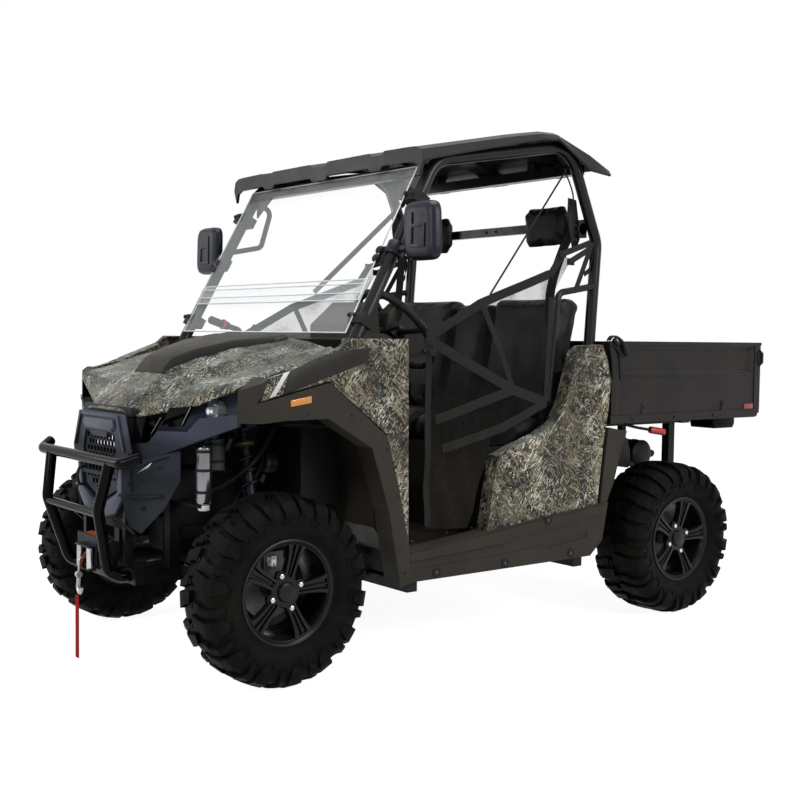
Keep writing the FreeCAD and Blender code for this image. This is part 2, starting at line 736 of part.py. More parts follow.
def roof_line(top, edge):
    """Roof section: three raised pads with channels between them and a turned down side."""
    return across([
        (0, top - 14), (48, top - 14), (62, top), (330, top), (346, top - 14), (404, top - 14),
        (420, top), (560, top - 2), (602, top - 4), (630, top - 16), (640, edge),
    ])


def make_roof():
    """Moulded roof cap with pads, a deep front lip, and feet on the cage members."""
    places = (
        (560, 1805, 1752), (640, 1822, 1773), (1000, 1897, 1858), (1140, 1922, 1888),
        (1222, 1925, 1895), (1400, 1866, 1795), (1510, 1817, 1785),
    )
    skin = loft(shell_stations([(distance, roof_line(top, edge)) for distance, top, edge in places], ROOF_WALL))
    line = roof_line(places[0][1], places[0][2])
    lip = prism("XZ_Plane", -behind(566), 12, line + [(x * 0.97, z - 52) for x, z in reversed(line)])
    feet = []
    for x in (-325, 285):
        feet.append(side_prism(x, 40, [(615, 1752), (650, 1752), (650, 1821), (615, 1813.7)]))
        feet.append(side_prism(x, 40, [(1395, 1826), (1440, 1826), (1440, 1845), (1395, 1864.6)]))
    keep("roof", weld([skin, lip] + feet))


def pillar_place(height, forward):
    """Centre line of the front pillar at a height, moved forwards square to it."""
    share = (height - PILLAR_BASE[1]) / (PILLAR_TOP[1] - PILLAR_BASE[1])
    run = PILLAR_TOP[0] - PILLAR_BASE[0]
    rise = PILLAR_TOP[1] - PILLAR_BASE[1]
    length = math.hypot(run, rise)
    distance = PILLAR_BASE[0] + share * run - forward * rise / length
    return behind(distance), height + forward * run / length


def pane(low, high, forward, half_low, half_high):
    """Flat clear sheet between two heights, lying this far ahead of the pillars."""
    stations = []
    for depth in (forward, forward + GLAZING):
        y_low, z_low = pillar_place(low, depth)
        y_high, z_high = pillar_place(high, depth)
        stations.append([
            (-half_low, y_low, z_low), (half_low, y_low, z_low),
            (half_high, y_high, z_high), (-half_high, y_high, z_high),
        ])
    return loft(stations)


def make_windshield():
    """Two clear sheets that lap at the seam."""
    lower = pane(1137, 1322, LOWER_PANE, 575, 568)
    upper = pane(1246, 1722, UPPER_PANE, 571, 556)
    keep("windshield", group([lower, upper]))


def make_windshield_clamps():
    """Rubber blocks round the pillars that the two sheets bear on."""
    blocks = []
    for height, forward in ((1192, LOWER_PANE), (1620, UPPER_PANE)):
        share = (height - PILLAR_BASE[1]) / (PILLAR_TOP[1] - PILLAR_BASE[1])
        x = CAGE_X + 15 * (1 - share)
        stations = []
        for z in (height - 18, height + 18):
            back, front = pillar_place(z, -28), pillar_place(z, forward)
            stations.append([(x - 48, *back), (x + 29, *back), (x + 29, *front), (x - 48, *front)])
        low, high = pillar_place(height - 90, 0), pillar_place(height + 90, 0)
        drift = 15 * 90 / (PILLAR_TOP[1] - PILLAR_BASE[1])
        passage = rod((x + drift, *low), (x - drift, *high), CAGE_TUBE / 2 + 0.3)
        blocks.append(both_sides(cut(loft(stations), passage)))
    keep("windshield_clamps", group(blocks))


# Cab

def make_dashboard():
    """Dash moulding with its binnacle in front of the driver."""
    profile = [
        (330, 1128), (470, 1150), (560, 1110), (575, 1010), (520, 900), (430, 860), (401, 860),
        (401, 1060), (395, 1060), (390, 1078),
    ]
    dash = side_prism(-545, 1090, profile)
    binnacle = side_prism(225, 210, [(372, 1120), (372, 1180), (470, 1262), (520, 1250), (535, 1120)])
    hub, axis = Vector(STEER_X, behind(STEER_HUB[0]), STEER_HUB[1]), steering_axis()
    passage = rod(hub - axis * 400, hub, COLUMN_RADIUS + 0.05)
    bin_opening = box((-470, behind(545), 985), (-250, behind(600), 1075))
    keep("dashboard", cut(weld([dash, binnacle]), weld([passage, bin_opening])))


STEER_X = 330
STEER_HUB = (680, 1165)
STEER_LEAN = 40


def steering_axis():
    lean = math.radians(STEER_LEAN)
    return Vector(0, math.cos(lean), math.sin(lean))


def make_steering():
    hub = Vector(STEER_X, behind(STEER_HUB[0]), STEER_HUB[1])
    axis = steering_axis()
    turn = Rotation(Z_AXIS, axis)
    rim = doc.addObject("Part::Torus", "SteeringRim")
    rim.setExpression("Radius1", "Sizes.steering_rim")
    rim.Radius2 = 14
    rim.Placement = Placement(hub, turn)
    boss = rod(hub - axis * 40, hub + axis * 2, 42)
    spokes = []
    for angle in (0, 180, 270):
        tip = turn.multVec(Vector(math.cos(math.radians(angle)), math.sin(math.radians(angle)), 0))
        spokes.append(rod(hub - axis * 16, hub + tip * (STEERING_RIM - 4), 11))
    keep("steering_wheel", weld([rim, boss] + spokes))
    top = hub - axis * 40.5
    keep("steering_column", rod(top - axis * 260, top, COLUMN_RADIUS))


def make_seats():
    half = SEAT_WIDTH / 2
    base_profile = [(945, 391), (930, 560), (945, 726), (1330, 726), (1410, 700), (1410, 391)]
    hollow_profile = [(960, 391), (948, 560), (960, 712), (1322, 712), (1396, 690), (1396, 391)]
    shell = side_prism(-half + 10, 2 * half - 20, base_profile)
    hollow = side_prism(-half + 24, 2 * half - 48, hollow_profile)
    keep("seat_base", cut(shell, hollow))
    cushion_profile = [(915, 760), (925, 812), (1000, 835), (1265, 822), (1275, 726), (935, 726)]
    back_profile = [
        (1281, 726), (1277, 850), (1362, 1290), (1392, 1318), (1440, 1310), (1462, 1280), (1372, 850), (1330, 726),
    ]
    cushions, backs = [], []
    for low, high, lift in ((-half, -128, 0), (-116, 116, -25), (128, half, 0)):
        cushions.append(side_prism(low, high - low, cushion_profile))
        tall = [(d, z if z < 1000 else z + lift) for d, z in back_profile]
        backs.append(side_prism(low, high - low, tall))
    keep("seat_cushions", group(cushions))
    keep("seat_backs", group(backs))


def make_head_rests():
    pads = []
    for x in (-360, 360):
        outline = [(x - 110, 1535), (x - 95, 1510), (x + 95, 1510), (x + 130, 1550), (x + 130, 1640),
                   (x + 105, 1678), (x - 95, 1678), (x - 120, 1650)]
        pads.append(prism("XZ_Plane", -behind(1462), 58, outline))
    keep("head_rests", group(pads))


def make_nets():
    """Side nets with their webbing, one thin closed sheet a side."""
    outline = [
        (598, 462), (600, 1136), (842, 1262), (1196, 1384), (1262, 1470), (1310, 1440), (1215, 1300),
        (1195, 893), (1030, 835), (925, 811), (800, 445),
    ]
    net = side_prism(618, 5, outline)
    keep("side_nets", both_sides(net))


def make_mirrors():
    """Side mirrors clamped to the front pillars."""
    housing = loft([
        [(648, behind(468), 1405), (805, behind(468), 1415), (805, behind(468), 1590), (655, behind(468), 1585)],
        [(640, behind(500), 1395), (815, behind(500), 1405), (815, behind(500), 1600), (648, behind(500), 1595)],
    ])
    y_low, z_low = pillar_place(1418, 0)
    y_high, z_high = pillar_place(1462, 0)
    x = CAGE_X + 8
    low, high = Vector(x, y_low, z_low), Vector(x - 1, y_high, z_high)
    reach = high - low
    stalk = rod((low + high) / 2 + X_AXIS * 24, (690, behind(490), 1440), 12)
    clamp = rod(low, high, 32)
    passage = rod(low - reach, high + reach, CAGE_TUBE / 2 + 0.3)
    keep("mirrors", both_sides(weld([housing, cut(weld([clamp, stalk]), passage)])))


# Body panels

HOOD_WALL = 6
POCKET_DEPTH = 75
BOWL_RADIUS = 38
HEX_CELL = 12.5
HEX_WEB = 4.5

def make_hood():
    """Camouflaged hood: raised middle panel, a crease each side and a flat outer band."""
    rows = [
        (-322, [(0, 884), (62, 884), (68, 884), (105, 883), (132, 882), (142, 881), (150, 880)]),
        (-290, [(0, 915), (75, 915), (82, 914), (122, 909), (158, 896), (172, 886), (182, 866)]),
        (-240, [(0, 950), (86, 950), (94, 949), (150, 941), (205, 912), (262, 905), (285, 886)]),
        (-195, [(0, 981), (96, 981), (104, 980), (185, 966), (250, 937), (405, 935), (428, 915)]),
        (-156, [(0, 1008), (105, 1006), (113, 1005), (205, 985), (275, 962), (560, 984), (590, 966)]),
        (-122, [(0, 1054), (104, 1050), (112, 1026), (222, 1003), (302, 975), (568, 996), (592, 980)]),
        (-49, [(0, 1085), (130, 1079), (140, 1056), (262, 1035), (360, 1003), (572, 1012), (594, 1003)]),
        (70, [(0, 1118), (180, 1110), (190, 1092), (335, 1075), (445, 1050), (574, 1050), (594, 1042)]),
        (200, [(0, 1136), (250, 1130), (262, 1116), (390, 1102), (500, 1083), (554, 1086), (570, 1076)]),
        (246, [(0, 1142), (262, 1137), (272, 1132), (400, 1120), (510, 1100), (540, 1104), (552, 1098)]),
    ]
    lines = [(distance, across(half_line)) for distance, half_line in rows]
    keep("hood", loft(shell_stations(lines, HOOD_WALL)))


def lamp_shelf():
    """Blue-black shelf under the lamp, stepped twice, with the pocket wall behind it."""
    front_low_top = (
        (170, 701, 772, -316), (235, 715, 777, -280), (270, 735, 818, -262),
        (395, 777, 821, -222), (448, 797, 868, -205), (600, 849, 888, -152),
    )
    hood_edge = ((170, 866), (235, 878), (270, 886), (395, 922), (448, 934), (600, 960))
    stations = []
    for (x, low, top, front), (_, wall_top) in zip(front_low_top, hood_edge):
        back = front + POCKET_DEPTH
        outline = [
            (front, low), (front, top), (back, top), (back, wall_top), (back + 6, wall_top),
            (back + 6, top - 12), (front + 12, top - 12), (front + 12, low),
        ]
        stations.append([(x, behind(distance), z) for distance, z in outline])
    return loft(stations)


def make_fascia():
    """Lamp shelves, the chin under the grille and the bumper covers swept back to the arches."""
    chin = prism("XZ_Plane", -behind(-330), 15, [
        (-182, 702), (-150, 702), (-138, 604), (0, 550), (138, 604), (150, 702), (182, 702),
        (182, 582), (129, 529), (0, 497), (-129, 529), (-182, 582),
    ])
    side_outline = [
        (0, 582), (0, 702), (120, 735), (207, 757), (207, 655), (150, 560), (66, 474), (20, 500),
    ]
    cover = wall_panel((181, -345), (345, -215), side_outline, 8)
    vent = wall_panel((178, -349), (342, -219), [(32, 690), (176, 738), (160, 700), (34, 610)], 9)
    far_vent_free = cut(cover, vent)
    bowl_seat = rod((440, behind(-190), 890), (440, behind(-80), 890), BOWL_RADIUS + 0.05)
    shelf = cut(lamp_shelf(), bowl_seat)
    bumper = weld([chin, far_vent_free, mirrored(far_vent_free)])
    keep("front_fascia", group([bumper, shelf, mirrored(shelf)]))


def make_grille():
    """Trapezoid surround with an open honeycomb mesh, its light frame and two bare plates."""
    back, front = -330, -345
    plate = prism("XZ_Plane", -behind(back), back - front, [
        (-172, 868), (172, 868), (222, 745), (214, 708), (140, 708), (140, 650), (-140, 650),
        (-140, 708), (-214, 708), (-222, 745),
    ])
    window = [(-116, 803), (116, 803), (136, 745), (134, 708), (128, 664), (-128, 664), (-134, 708), (-136, 745)]
    surround = cut(plate, prism("XZ_Plane", -behind(back + 5), 30, window))
    mesh_outline = [(-118, 805), (118, 805), (138, 745), (137, 652), (124, 612), (0, 562), (-124, 612), (-137, 652),
                    (-138, 745)]
    mesh = prism("XZ_Plane", -behind(back), 8, mesh_outline)
    holes = []
    step_x = HEX_CELL * math.sqrt(3) + HEX_WEB
    step_z = step_x * math.sqrt(3) / 2
    for row in range(9):
        z = 786 - row * step_z
        for column in range(-5, 6):
            x = (column + 0.5 * (row % 2)) * step_x
            room = 118 if z > 650 else 118 - (650 - z) * 1.35
            if abs(x) > room - HEX_CELL:
                continue
            corners = [Vector(x + HEX_CELL * math.sin(a), behind(-320), z + HEX_CELL * math.cos(a))
                       for a in (k * math.pi / 3 for k in range(6))]
            hexagon = Part.Face(Part.makePolygon(corners + corners[:1]))
            holes.append(hexagon.extrude(Y_AXIS * -60))
    openings = doc.addObject("Part::Feature", "Openings")
    openings.Shape = Part.makeCompound(holes)
    raised = [
        prism("XZ_Plane", -behind(front + 1), 7, [(side * 140, 866), (side * 153, 866), (side * 206, 745), (side * 193, 745)])
        for side in (-1, 1)
    ]
    raised.append(prism("XZ_Plane", -behind(front + 1), 7, [(-141, 853), (141, 853), (139, 866), (-139, 866)]))
    raised.append(prism("XZ_Plane", -behind(front + 1), 5, [
        (-122, 850), (122, 850), (134, 824), (104, 806), (-104, 806), (-134, 824),
    ]))
    raised.append(prism("XZ_Plane", -behind(back), 18, [(-66, 804), (66, 804), (60, 785), (-60, 785)]))
    keep("grille", weld([surround, cut(mesh, openings)] + raised))


def make_headlamps():
    """Round lamp bowls set in the pocket walls, open to the front, with the bulb shroud inside."""
    front, rear = behind(-152), behind(-92)
    bowl = rod((440, front, 890), (440, rear, 890), BOWL_RADIUS)
    hollow = cone((440, front - 1, 890), (440, rear - 14, 890), BOWL_RADIUS - 3, 12)
    shroud = rod((440, front + 12, 890), (440, rear - 10, 890), 9)
    keep("headlamps", both_sides(weld([cut(bowl, hollow), shroud])))


def make_front_fenders():
    """Dark wheel arch mouldings from the lamp shelf back to the sill, with the cowl's flange."""
    outer = [
        (-150, 860), (-151, 964), (-90, 1006), (-122, 926), (-62, 938), (144, 986), (374, 807),
        (432, 620), (482, 398), (489, ROCKER_LOW), (443, 281), (388, 551), (314, 769), (136, 872), (-31, 870),
    ]
    corner = [(560, -200), (760, -200), (760, -80), (600, -151)]
    solid = cut(side_prism(600, 88, outer), plan_prism(corner, 0))
    hollow = cut(side_prism(595, 88, inset(outer, SKIN)), plan_prism(corner, 7))
    flange = side_prism(637, 8, [
        (-60, 936), (144, 983), (372, 804), (429, 619), (437, 622), (384, 817), (150, 1000), (-64, 952),
    ])
    keep("front_fenders", both_sides(weld([cut(solid, hollow), flange])))


def make_cowl_panels():
    """Camouflaged panels between the arch and the door opening, turned in under the hood's edge."""
    outer = [
        (-108, 932), (-78, 1004), (12, 1028), (40, 1044), (200, 1104), (234, 1132), (478, 1132),
        (488, 430), (478, 430), (446, 620), (388, 812), (150, 993), (-60, 945),
    ]
    panel = side_prism(645, 25, outer, inset(outer, SKIN), 20)
    ledge = side_prism(600, 48, [(12, 1028), (40, 1044), (186, 1099), (186, 1094), (42, 1039), (14, 1023)])
    shelf = side_prism(628, 20, [(226, 1125), (234, 1132), (478, 1132), (478, 1127), (236, 1127), (228, 1120)])
    keep("cowl_panels", both_sides(weld([panel, ledge, shelf])))


def make_hip_panels():
    """Camouflaged panels beside the seat, deep at the front edge."""
    outer = [
        (853, 437), (897, 687), (905, 708), (986, 738), (1114, 777), (1205, 822), (1252, 905),
        (1311, 1089), (1345, 1112), (1448, 1117), (1478, 1060), (1502, 979), (1490, 860), (1468, 750),
        (1435, 491.9), (1396, 488),
    ]
    panel = side_prism(612, 58, outer, inset(outer, SKIN), 53)
    keep("hip_panels", both_sides(panel))


def make_rear_fenders():
    outer = [(1486, 792), (1596, 773), (1560, 690), (1525, 576), (1484, 496.7), (1448, 493.1)]
    panel = side_prism(612, 64, outer, inset(outer, SKIN), 59)
    keep("rear_fenders", both_sides(panel))


def make_rockers():
    """Sill mouldings under the door openings, with a ledge along the top and a foot slot."""
    outer = [
        (489, ROCKER_LOW), (482, 398), (853, 437), (1396, 488), (1488, 497), (1458, 348), (1391, ROCKER_LOW),
    ]
    panel = side_prism("Sizes.panel_x - Sizes.panel_depth", "Sizes.panel_depth", outer,
                       inset(outer, SKIN), "Sizes.panel_depth - Sizes.skin")
    ledge = side_prism(PANEL_X - 2, 8, [
        (488, 359), (485, 393), (853, 427), (943, 438), (1470, 489), (1460, 455), (950, 402), (925, 388),
    ])
    slot = side_prism(PANEL_X - 3, 10, [(1151, 345), (1151, 366), (1368, 388), (1368, 367)])
    keep("rocker_panels", both_sides(cut(weld([panel, ledge]), slot)))


# Nose equipment

def make_bull_bar():
    """Bent tube bumper with two uprights and a lower cross bar."""
    top = tube([
        (-370, behind(-372), 742), (-330, behind(-418), 722), (330, behind(-418), 722), (370, behind(-372), 742),
    ], 40, "Sizes.bumper_tube")
    uprights = []
    for side in (-1, 1):
        uprights.append(tube([
            (side * 243, behind(-418), 722), (side * 215, behind(-446), 560),
            (side * 160, behind(-388), 345), (side * 178, behind(-352), 325),
            (side * 178, behind(FRAME_FRONT), 325),
        ], 60, "Sizes.bumper_tube"))
    lower = rod((-212, behind(-444), 548), (212, behind(-444), 548), 14)
    keep("bull_bar", weld([top, lower] + uprights))


def make_winch():
    """Electric winch on its tray, with the roller fairlead in front."""
    drum = rod((-75, behind(-350), 410), (75, behind(-350), 410), 32)
    motor = rod((70, behind(-350), 410), (128, behind(-350), 410), 30)
    plate = box((-80, behind(-392), 347), (80, behind(-385), 450))
    base = box((-95, behind(-386), 346), (95, behind(-322), 386))
    rollers = [
        rod((x, behind(-404), 336), (x, behind(-404), 412), 11) for x in (-28, 52)
    ]
    caps = [box((-45, behind(-416), z), (70, behind(-390), z + 6)) for z in (333, 411)]
    link = box((-45, behind(-398), 333), (70, behind(-389), 350))
    keep("winch", weld([drum, motor, plate, base, link] + rollers + caps))


def make_hook():
    """Rope end and hook hanging in front of the fairlead."""
    rope = tube([(12, behind(-393), 376), (12, behind(-424), 372), (12, behind(-427), 318)], 14, 8)
    thimble = rod((4, behind(-427), 316), (20, behind(-427), 316), 11)
    hook = tube([(12, behind(-427), 312), (12, behind(-430), 270), (28, behind(-430), 248),
                 (38, behind(-428), 275)], 10, 13)
    keep("winch_hook", weld([rope, thimble, hook]))


def make_hook_strap():
    keep("hook_strap", box((4, behind(-436), 30), (30, behind(-433.5), 246)))


def make_bay_units():
    canister = weld([
        rod((400, behind(-160), 580), (400, behind(-160), 780), 26),
        rod((400, behind(-160), 600), (400, behind(-160), 606), 28),
    ])
    keep("canister", canister)
    bottle = weld([
        rod((345, behind(-95), 690), (345, behind(-95), 790), 38),
        rod((345, behind(-95), 789), (345, behind(-95), 806), 20),
    ])
    keep("coolant_bottle", bottle)
    keep("battery_box", box((250, behind(192), 560), (443, behind(345), 820)))


# Cargo bed and tail

BED_FRONT = 1515
BED_REAR = 2492
BED_FLOOR = 831
BED_TOP = 1131


def make_bed_side():
    """One side wall with its top lip, bevelled recess, end post and bottom rail."""
    half = BED_HALF
    wall = side_prism(half - BED_WALL, BED_WALL, [
        (BED_FRONT, BED_FLOOR), (BED_FRONT, BED_TOP - 4), (BED_REAR, BED_TOP - 4), (BED_REAR, BED_FLOOR),
    ])
    recess = loft([
        [(half + 1, behind(d), z) for d, z in ((1584, 999), (1584, 1112), (2444, 1112), (2444, 999))],
        [(half - 13, behind(d), z) for d, z in ((1606, 1017), (1606, 1096), (2422, 1096), (2422, 1017))],
    ])
    lip = side_prism(half - BED_WALL - 4, BED_WALL + 8, [
        (BED_FRONT - 8, BED_TOP - 12), (BED_FRONT - 8, BED_TOP + 1), (BED_REAR, BED_TOP + 1), (BED_REAR, BED_TOP - 12),
    ])
    post = side_prism(half - 2, 6, [(2446, BED_FLOOR), (2446, BED_TOP - 6), (2484, BED_TOP - 6), (2484, BED_FLOOR)])
    rail = side_prism(half - 20, 26, [
        (1508, 804), (1508, 834), (2452, 838), (2466, 832), (2473, 820), (2468, 808), (2452, 802),
    ])
    foot = side_prism(half - 20, 22, [(1948, 806), (2008, 806), (2002, 792), (1954, 792)])
    return weld([cut(wall, recess), lip, post, rail, foot])


def make_bed():
    """Steel bed with pressed side walls, open to the top and rear."""
    half = BED_HALF
    y_front, y_rear = behind(BED_FRONT), behind(BED_REAR)
    floor = box((1 - half, y_front, BED_FLOOR - 12), (half - 1, y_rear, BED_FLOOR + 16))
    front = box((1 - half, y_front, BED_FLOOR), (half - 1, y_front, BED_TOP), width="Sizes.bed_wall")
    side = make_bed_side()
    runners = [box((x - 22, behind(1530), 800), (x + 22, behind(2455), BED_FLOOR - 10)) for x in (-300, 300)]
    ribs = [box((-half + 40, behind(d), 803), (half - 40, behind(d + 34), BED_FLOOR - 10))
            for d in (1560, 1690, 2120, 2420)]
    keep("cargo_bed", weld([floor, front, side, mirrored(side)] + runners + ribs))


def make_tailgate():
    """Drop-down gate between the bed sides, pressed panel and a latch at each end."""
    half = BED_HALF - BED_WALL - 6
    rear = BED_REAR - 2
    gate = box((-half, behind(BED_REAR - 30), BED_FLOOR + 24), (half, behind(rear), BED_TOP - 4))
    low, high = BED_FLOOR + 70, BED_TOP - 50
    recess = loft([
        [(x, behind(rear + 1), z) for x, z in ((-540, low), (540, low), (540, high), (-540, high))],
        [(x, behind(rear - 12), z) for x, z in ((-520, low + 18), (520, low + 18), (520, high - 18), (-520, high - 18))],
    ])
    latches = [box((x - 20, behind(BED_REAR - 4), 1060), (x + 20, behind(BED_REAR + 28), 1090))
               for x in (-584, 584)]
    keep("tailgate", weld([cut(gate, recess)] + latches))


def make_tail_lamps():
    lamp = box((470, behind(2240), 752), (600, behind(2400), BED_FLOOR - 12))
    keep("tail_lamps", both_sides(lamp))


def make_bed_lever():
    """Release lever for the bed, under its driver's side rail, with a hand grip."""
    lever = tube([(600, behind(1668), BED_FLOOR - 12), (600, behind(1668), 792), (620, behind(1724), 778),
                  (655, behind(1832), 760)], 30, 12)
    grip = rod((641, behind(1786), 767.7), (656.6, behind(1838), 759), 13)
    keep("bed_lever", weld([lever, grip]))


BUILDERS = (
    make_wheels, make_frame, make_hitch_receiver, make_front_tower, make_rear_frame, make_skid_plate,
    make_floor, make_engine, make_muffler, make_suspension, make_shocks, make_drive_shafts, make_cross_bars, make_roof,
    make_windshield, make_windshield_clamps, make_dashboard,
    make_steering, make_seats, make_head_rests, make_nets, make_mirrors, make_hood, make_fascia,
    make_grille, make_headlamps, make_front_fenders, make_cowl_panels, make_hip_panels,
    make_rear_fenders, make_rockers, make_bull_bar, make_winch, make_hook, make_hook_strap,
    make_bay_units, make_bed, make_tailgate, make_tail_lamps, make_bed_lever,
)


def check_document():
    """Stop on any object that failed to rebuild and on any null or broken sub-part."""
    failed = [thing.Label for thing in doc.Objects
              if "Invalid" in thing.State or "Error" in thing.State]
    if failed:
        raise RuntimeError(f"these objects failed to rebuild: {failed}")
    for name, thing in nodes.items():
        if thing.Shape.isNull() or not thing.Shape.isValid() or thing.Shape.Volume <= 0:
            raise RuntimeError(f"{name} has no valid solid")


for build in BUILDERS:
    build()
make_knuckle("knuckle_left", 1)
make_knuckle("knuckle_right", -1)
make_cage_side("cage_left", False)
make_cage_side("cage_right", True)
doc.recompute()
check_document()
os.makedirs("parts", exist_ok=True)
for name, thing in nodes.items():
    thing.Shape.exportStep(f"parts/{name}.step")
print(len(nodes), "sub-parts written")
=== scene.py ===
import bpy
import bmesh
import json
import math
from mathutils import Matrix, Vector
from mathutils.bvhtree import BVHTree


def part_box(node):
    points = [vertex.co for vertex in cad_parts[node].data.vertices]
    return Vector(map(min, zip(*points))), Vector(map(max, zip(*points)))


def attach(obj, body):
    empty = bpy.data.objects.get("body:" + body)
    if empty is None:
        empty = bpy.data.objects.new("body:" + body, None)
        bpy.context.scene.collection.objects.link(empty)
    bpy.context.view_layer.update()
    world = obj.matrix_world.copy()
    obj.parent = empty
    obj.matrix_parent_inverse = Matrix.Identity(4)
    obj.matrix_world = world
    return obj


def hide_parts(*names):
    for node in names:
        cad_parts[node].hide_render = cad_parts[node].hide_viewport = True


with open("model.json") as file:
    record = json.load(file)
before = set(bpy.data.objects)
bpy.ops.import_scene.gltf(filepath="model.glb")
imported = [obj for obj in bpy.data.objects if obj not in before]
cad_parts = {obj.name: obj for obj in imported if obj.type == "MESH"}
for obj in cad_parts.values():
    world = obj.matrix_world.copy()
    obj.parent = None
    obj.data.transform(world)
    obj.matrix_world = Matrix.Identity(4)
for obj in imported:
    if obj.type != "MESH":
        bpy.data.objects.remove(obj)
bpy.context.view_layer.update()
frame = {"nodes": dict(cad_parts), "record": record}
nodes = frame["nodes"]
scene = bpy.context.scene

FRONT_AXLE = -1.0275
REAR_AXLE = 0.8745
AXLE_HEIGHT = 0.315
SIDES = (("left", 1), ("right", -1))


def mm(x, distance, z):
    """Place as in the drawing, in millimetres: across, behind the front axle, up."""
    return Vector((x / 1000, FRONT_AXLE + distance / 1000, z / 1000))


def on_side(side, *places):
    """Places of one side in millimetres: side 1 as drawn, side -1 as its mirror image."""
    return [mm(side * x, distance, z) for x, distance, z in places]


def once_round(steps):
    """Cosine and sine of even angles, once round the circle."""
    return [(math.cos(a), math.sin(a)) for a in (2 * math.pi * k / steps for k in range(steps))]


def join_rings(built, rings, closed=False):
    """Faces between equal rings of points, with an end face at each end unless the row is closed."""
    made = [[built.verts.new(point) for point in ring] for ring in rings]
    pairs = list(zip(made, made[1:]))
    if closed:
        pairs.append((made[-1], made[0]))
    for lower, upper in pairs:
        for k in range(len(lower)):
            j = (k + 1) % len(lower)
            built.faces.new((lower[k], lower[j], upper[j], upper[k]))
    if not closed:
        built.faces.new(made[0][::-1])
        built.faces.new(made[-1])


def mesh_of(built, name):
    """Plain mesh of the faces built so far, all turned outwards; the working copy is freed."""
    bmesh.ops.recalc_face_normals(built, faces=built.faces[:])
    mesh = bpy.data.meshes.new(name)
    built.to_mesh(mesh)
    built.free()
    return mesh


# Camera and studio

CAMERA_PLACE = (3.8791, -3.1002, 1.1425)
CAMERA_AZIMUTH = math.radians(51.90)
CAMERA_DIP = math.radians(3.060)
CAMERA_ROLL = math.radians(0.690)
SENSOR_WIDTH = 36
LENS_LENGTH = 53.93

FILL_STRENGTH = 0.27
FLOOR_REACH = 40.0
FLOOR_GREY = 0.30
FLOOR_GLOW = 0.93


def aim_camera():
    """The photograph's camera: a pin-hole fitted to the wheels, bed and roof."""
    azimuth, dip, roll = CAMERA_AZIMUTH, CAMERA_DIP, CAMERA_ROLL
    ahead = Vector((-math.sin(azimuth) * math.cos(dip), math.cos(azimuth) * math.cos(dip), -math.sin(dip)))
    right = Vector((math.cos(azimuth), math.sin(azimuth), 0))
    up = right.cross(ahead)
    right_rolled = right * math.cos(roll) + up * math.sin(roll)
    up_rolled = up * math.cos(roll) - right * math.sin(roll)
    lens = bpy.data.cameras.new("PhotoCamera")
    lens.sensor_width = SENSOR_WIDTH
    lens.lens = LENS_LENGTH
    camera = bpy.data.objects.new("PhotoCamera", lens)
    scene.collection.objects.link(camera)
    turn = Matrix((right_rolled, up_rolled, -ahead)).transposed().to_4x4()
    camera.matrix_world = Matrix.Translation(CAMERA_PLACE) @ turn
    scene.camera = camera


def seen_ray(tree):
    """1 where the surface is seen, also mirrored or through clear sheet, 0 where it only gives light."""
    path = tree.nodes.new("ShaderNodeLightPath")
    seen = path.outputs["Is Camera Ray"]
    for kind in ("Is Transmission Ray", "Is Glossy Ray"):
        either = tree.nodes.new("ShaderNodeMath")
        either.operation = "MAXIMUM"
        tree.links.new(seen, either.inputs[0])
        tree.links.new(path.outputs[kind], either.inputs[1])
        seen = either.outputs[0]
    return seen


def light_world():
    """White backdrop for the eye over a dimmer, slightly cool fill light."""
    world = bpy.data.worlds.new("StudioWorld")
    scene.world = world
    world.use_nodes = True
    tree = world.node_tree
    fill = tree.nodes["Background"]
    fill.inputs["Color"].default_value = (0.95, 0.97, 1.0, 1)
    fill.inputs["Strength"].default_value = FILL_STRENGTH
    backdrop = tree.nodes.new("ShaderNodeBackground")
    backdrop.inputs["Color"].default_value = (1, 1, 1, 1)
    backdrop.inputs["Strength"].default_value = 1.0
    blend = tree.nodes.new("ShaderNodeMixShader")
    tree.links.new(seen_ray(tree), blend.inputs["Fac"])
    tree.links.new(fill.outputs[0], blend.inputs[1])
    tree.links.new(backdrop.outputs[0], blend.inputs[2])
    tree.links.new(blend.outputs[0], tree.nodes["World Output"].inputs["Surface"])


def lay_floor():
    """Pale floor that stays white to the eye and keeps the machine's shadow."""
    mesh = bpy.data.meshes.new("StudioFloor")
    corners = [(x * FLOOR_REACH, y * FLOOR_REACH, 0) for x, y in ((-1, -1), (1, -1), (1, 1), (-1, 1))]
    mesh.from_pydata(corners, [], [(0, 1, 2, 3)])
    floor = bpy.data.objects.new("StudioFloor", mesh)
    scene.collection.objects.link(floor)
    paper = bpy.data.materials.new("FloorPaper")
    paper.use_nodes = True
    tree = paper.node_tree
    tree.nodes.clear()
    matt = tree.nodes.new("ShaderNodeBsdfDiffuse")
    matt.inputs["Color"].default_value = (FLOOR_GREY, FLOOR_GREY, FLOOR_GREY, 1)
    glow = tree.nodes.new("ShaderNodeEmission")
    glow.inputs["Color"].default_value = (1, 1, 1, 1)
    both = tree.nodes.new("ShaderNodeAddShader")
    lift = tree.nodes.new("ShaderNodeMath")
    lift.operation = "MULTIPLY"
    lift.inputs[1].default_value = FLOOR_GLOW
    tree.links.new(seen_ray(tree), lift.inputs[0])
    tree.links.new(lift.outputs[0], glow.inputs["Strength"])
    tree.links.new(matt.outputs[0], both.inputs[0])
    tree.links.new(glow.outputs[0], both.inputs[1])
    finish = tree.nodes.new("ShaderNodeOutputMaterial")
    tree.links.new(both.outputs[0], finish.inputs["Surface"])
    mesh.materials.append(paper)


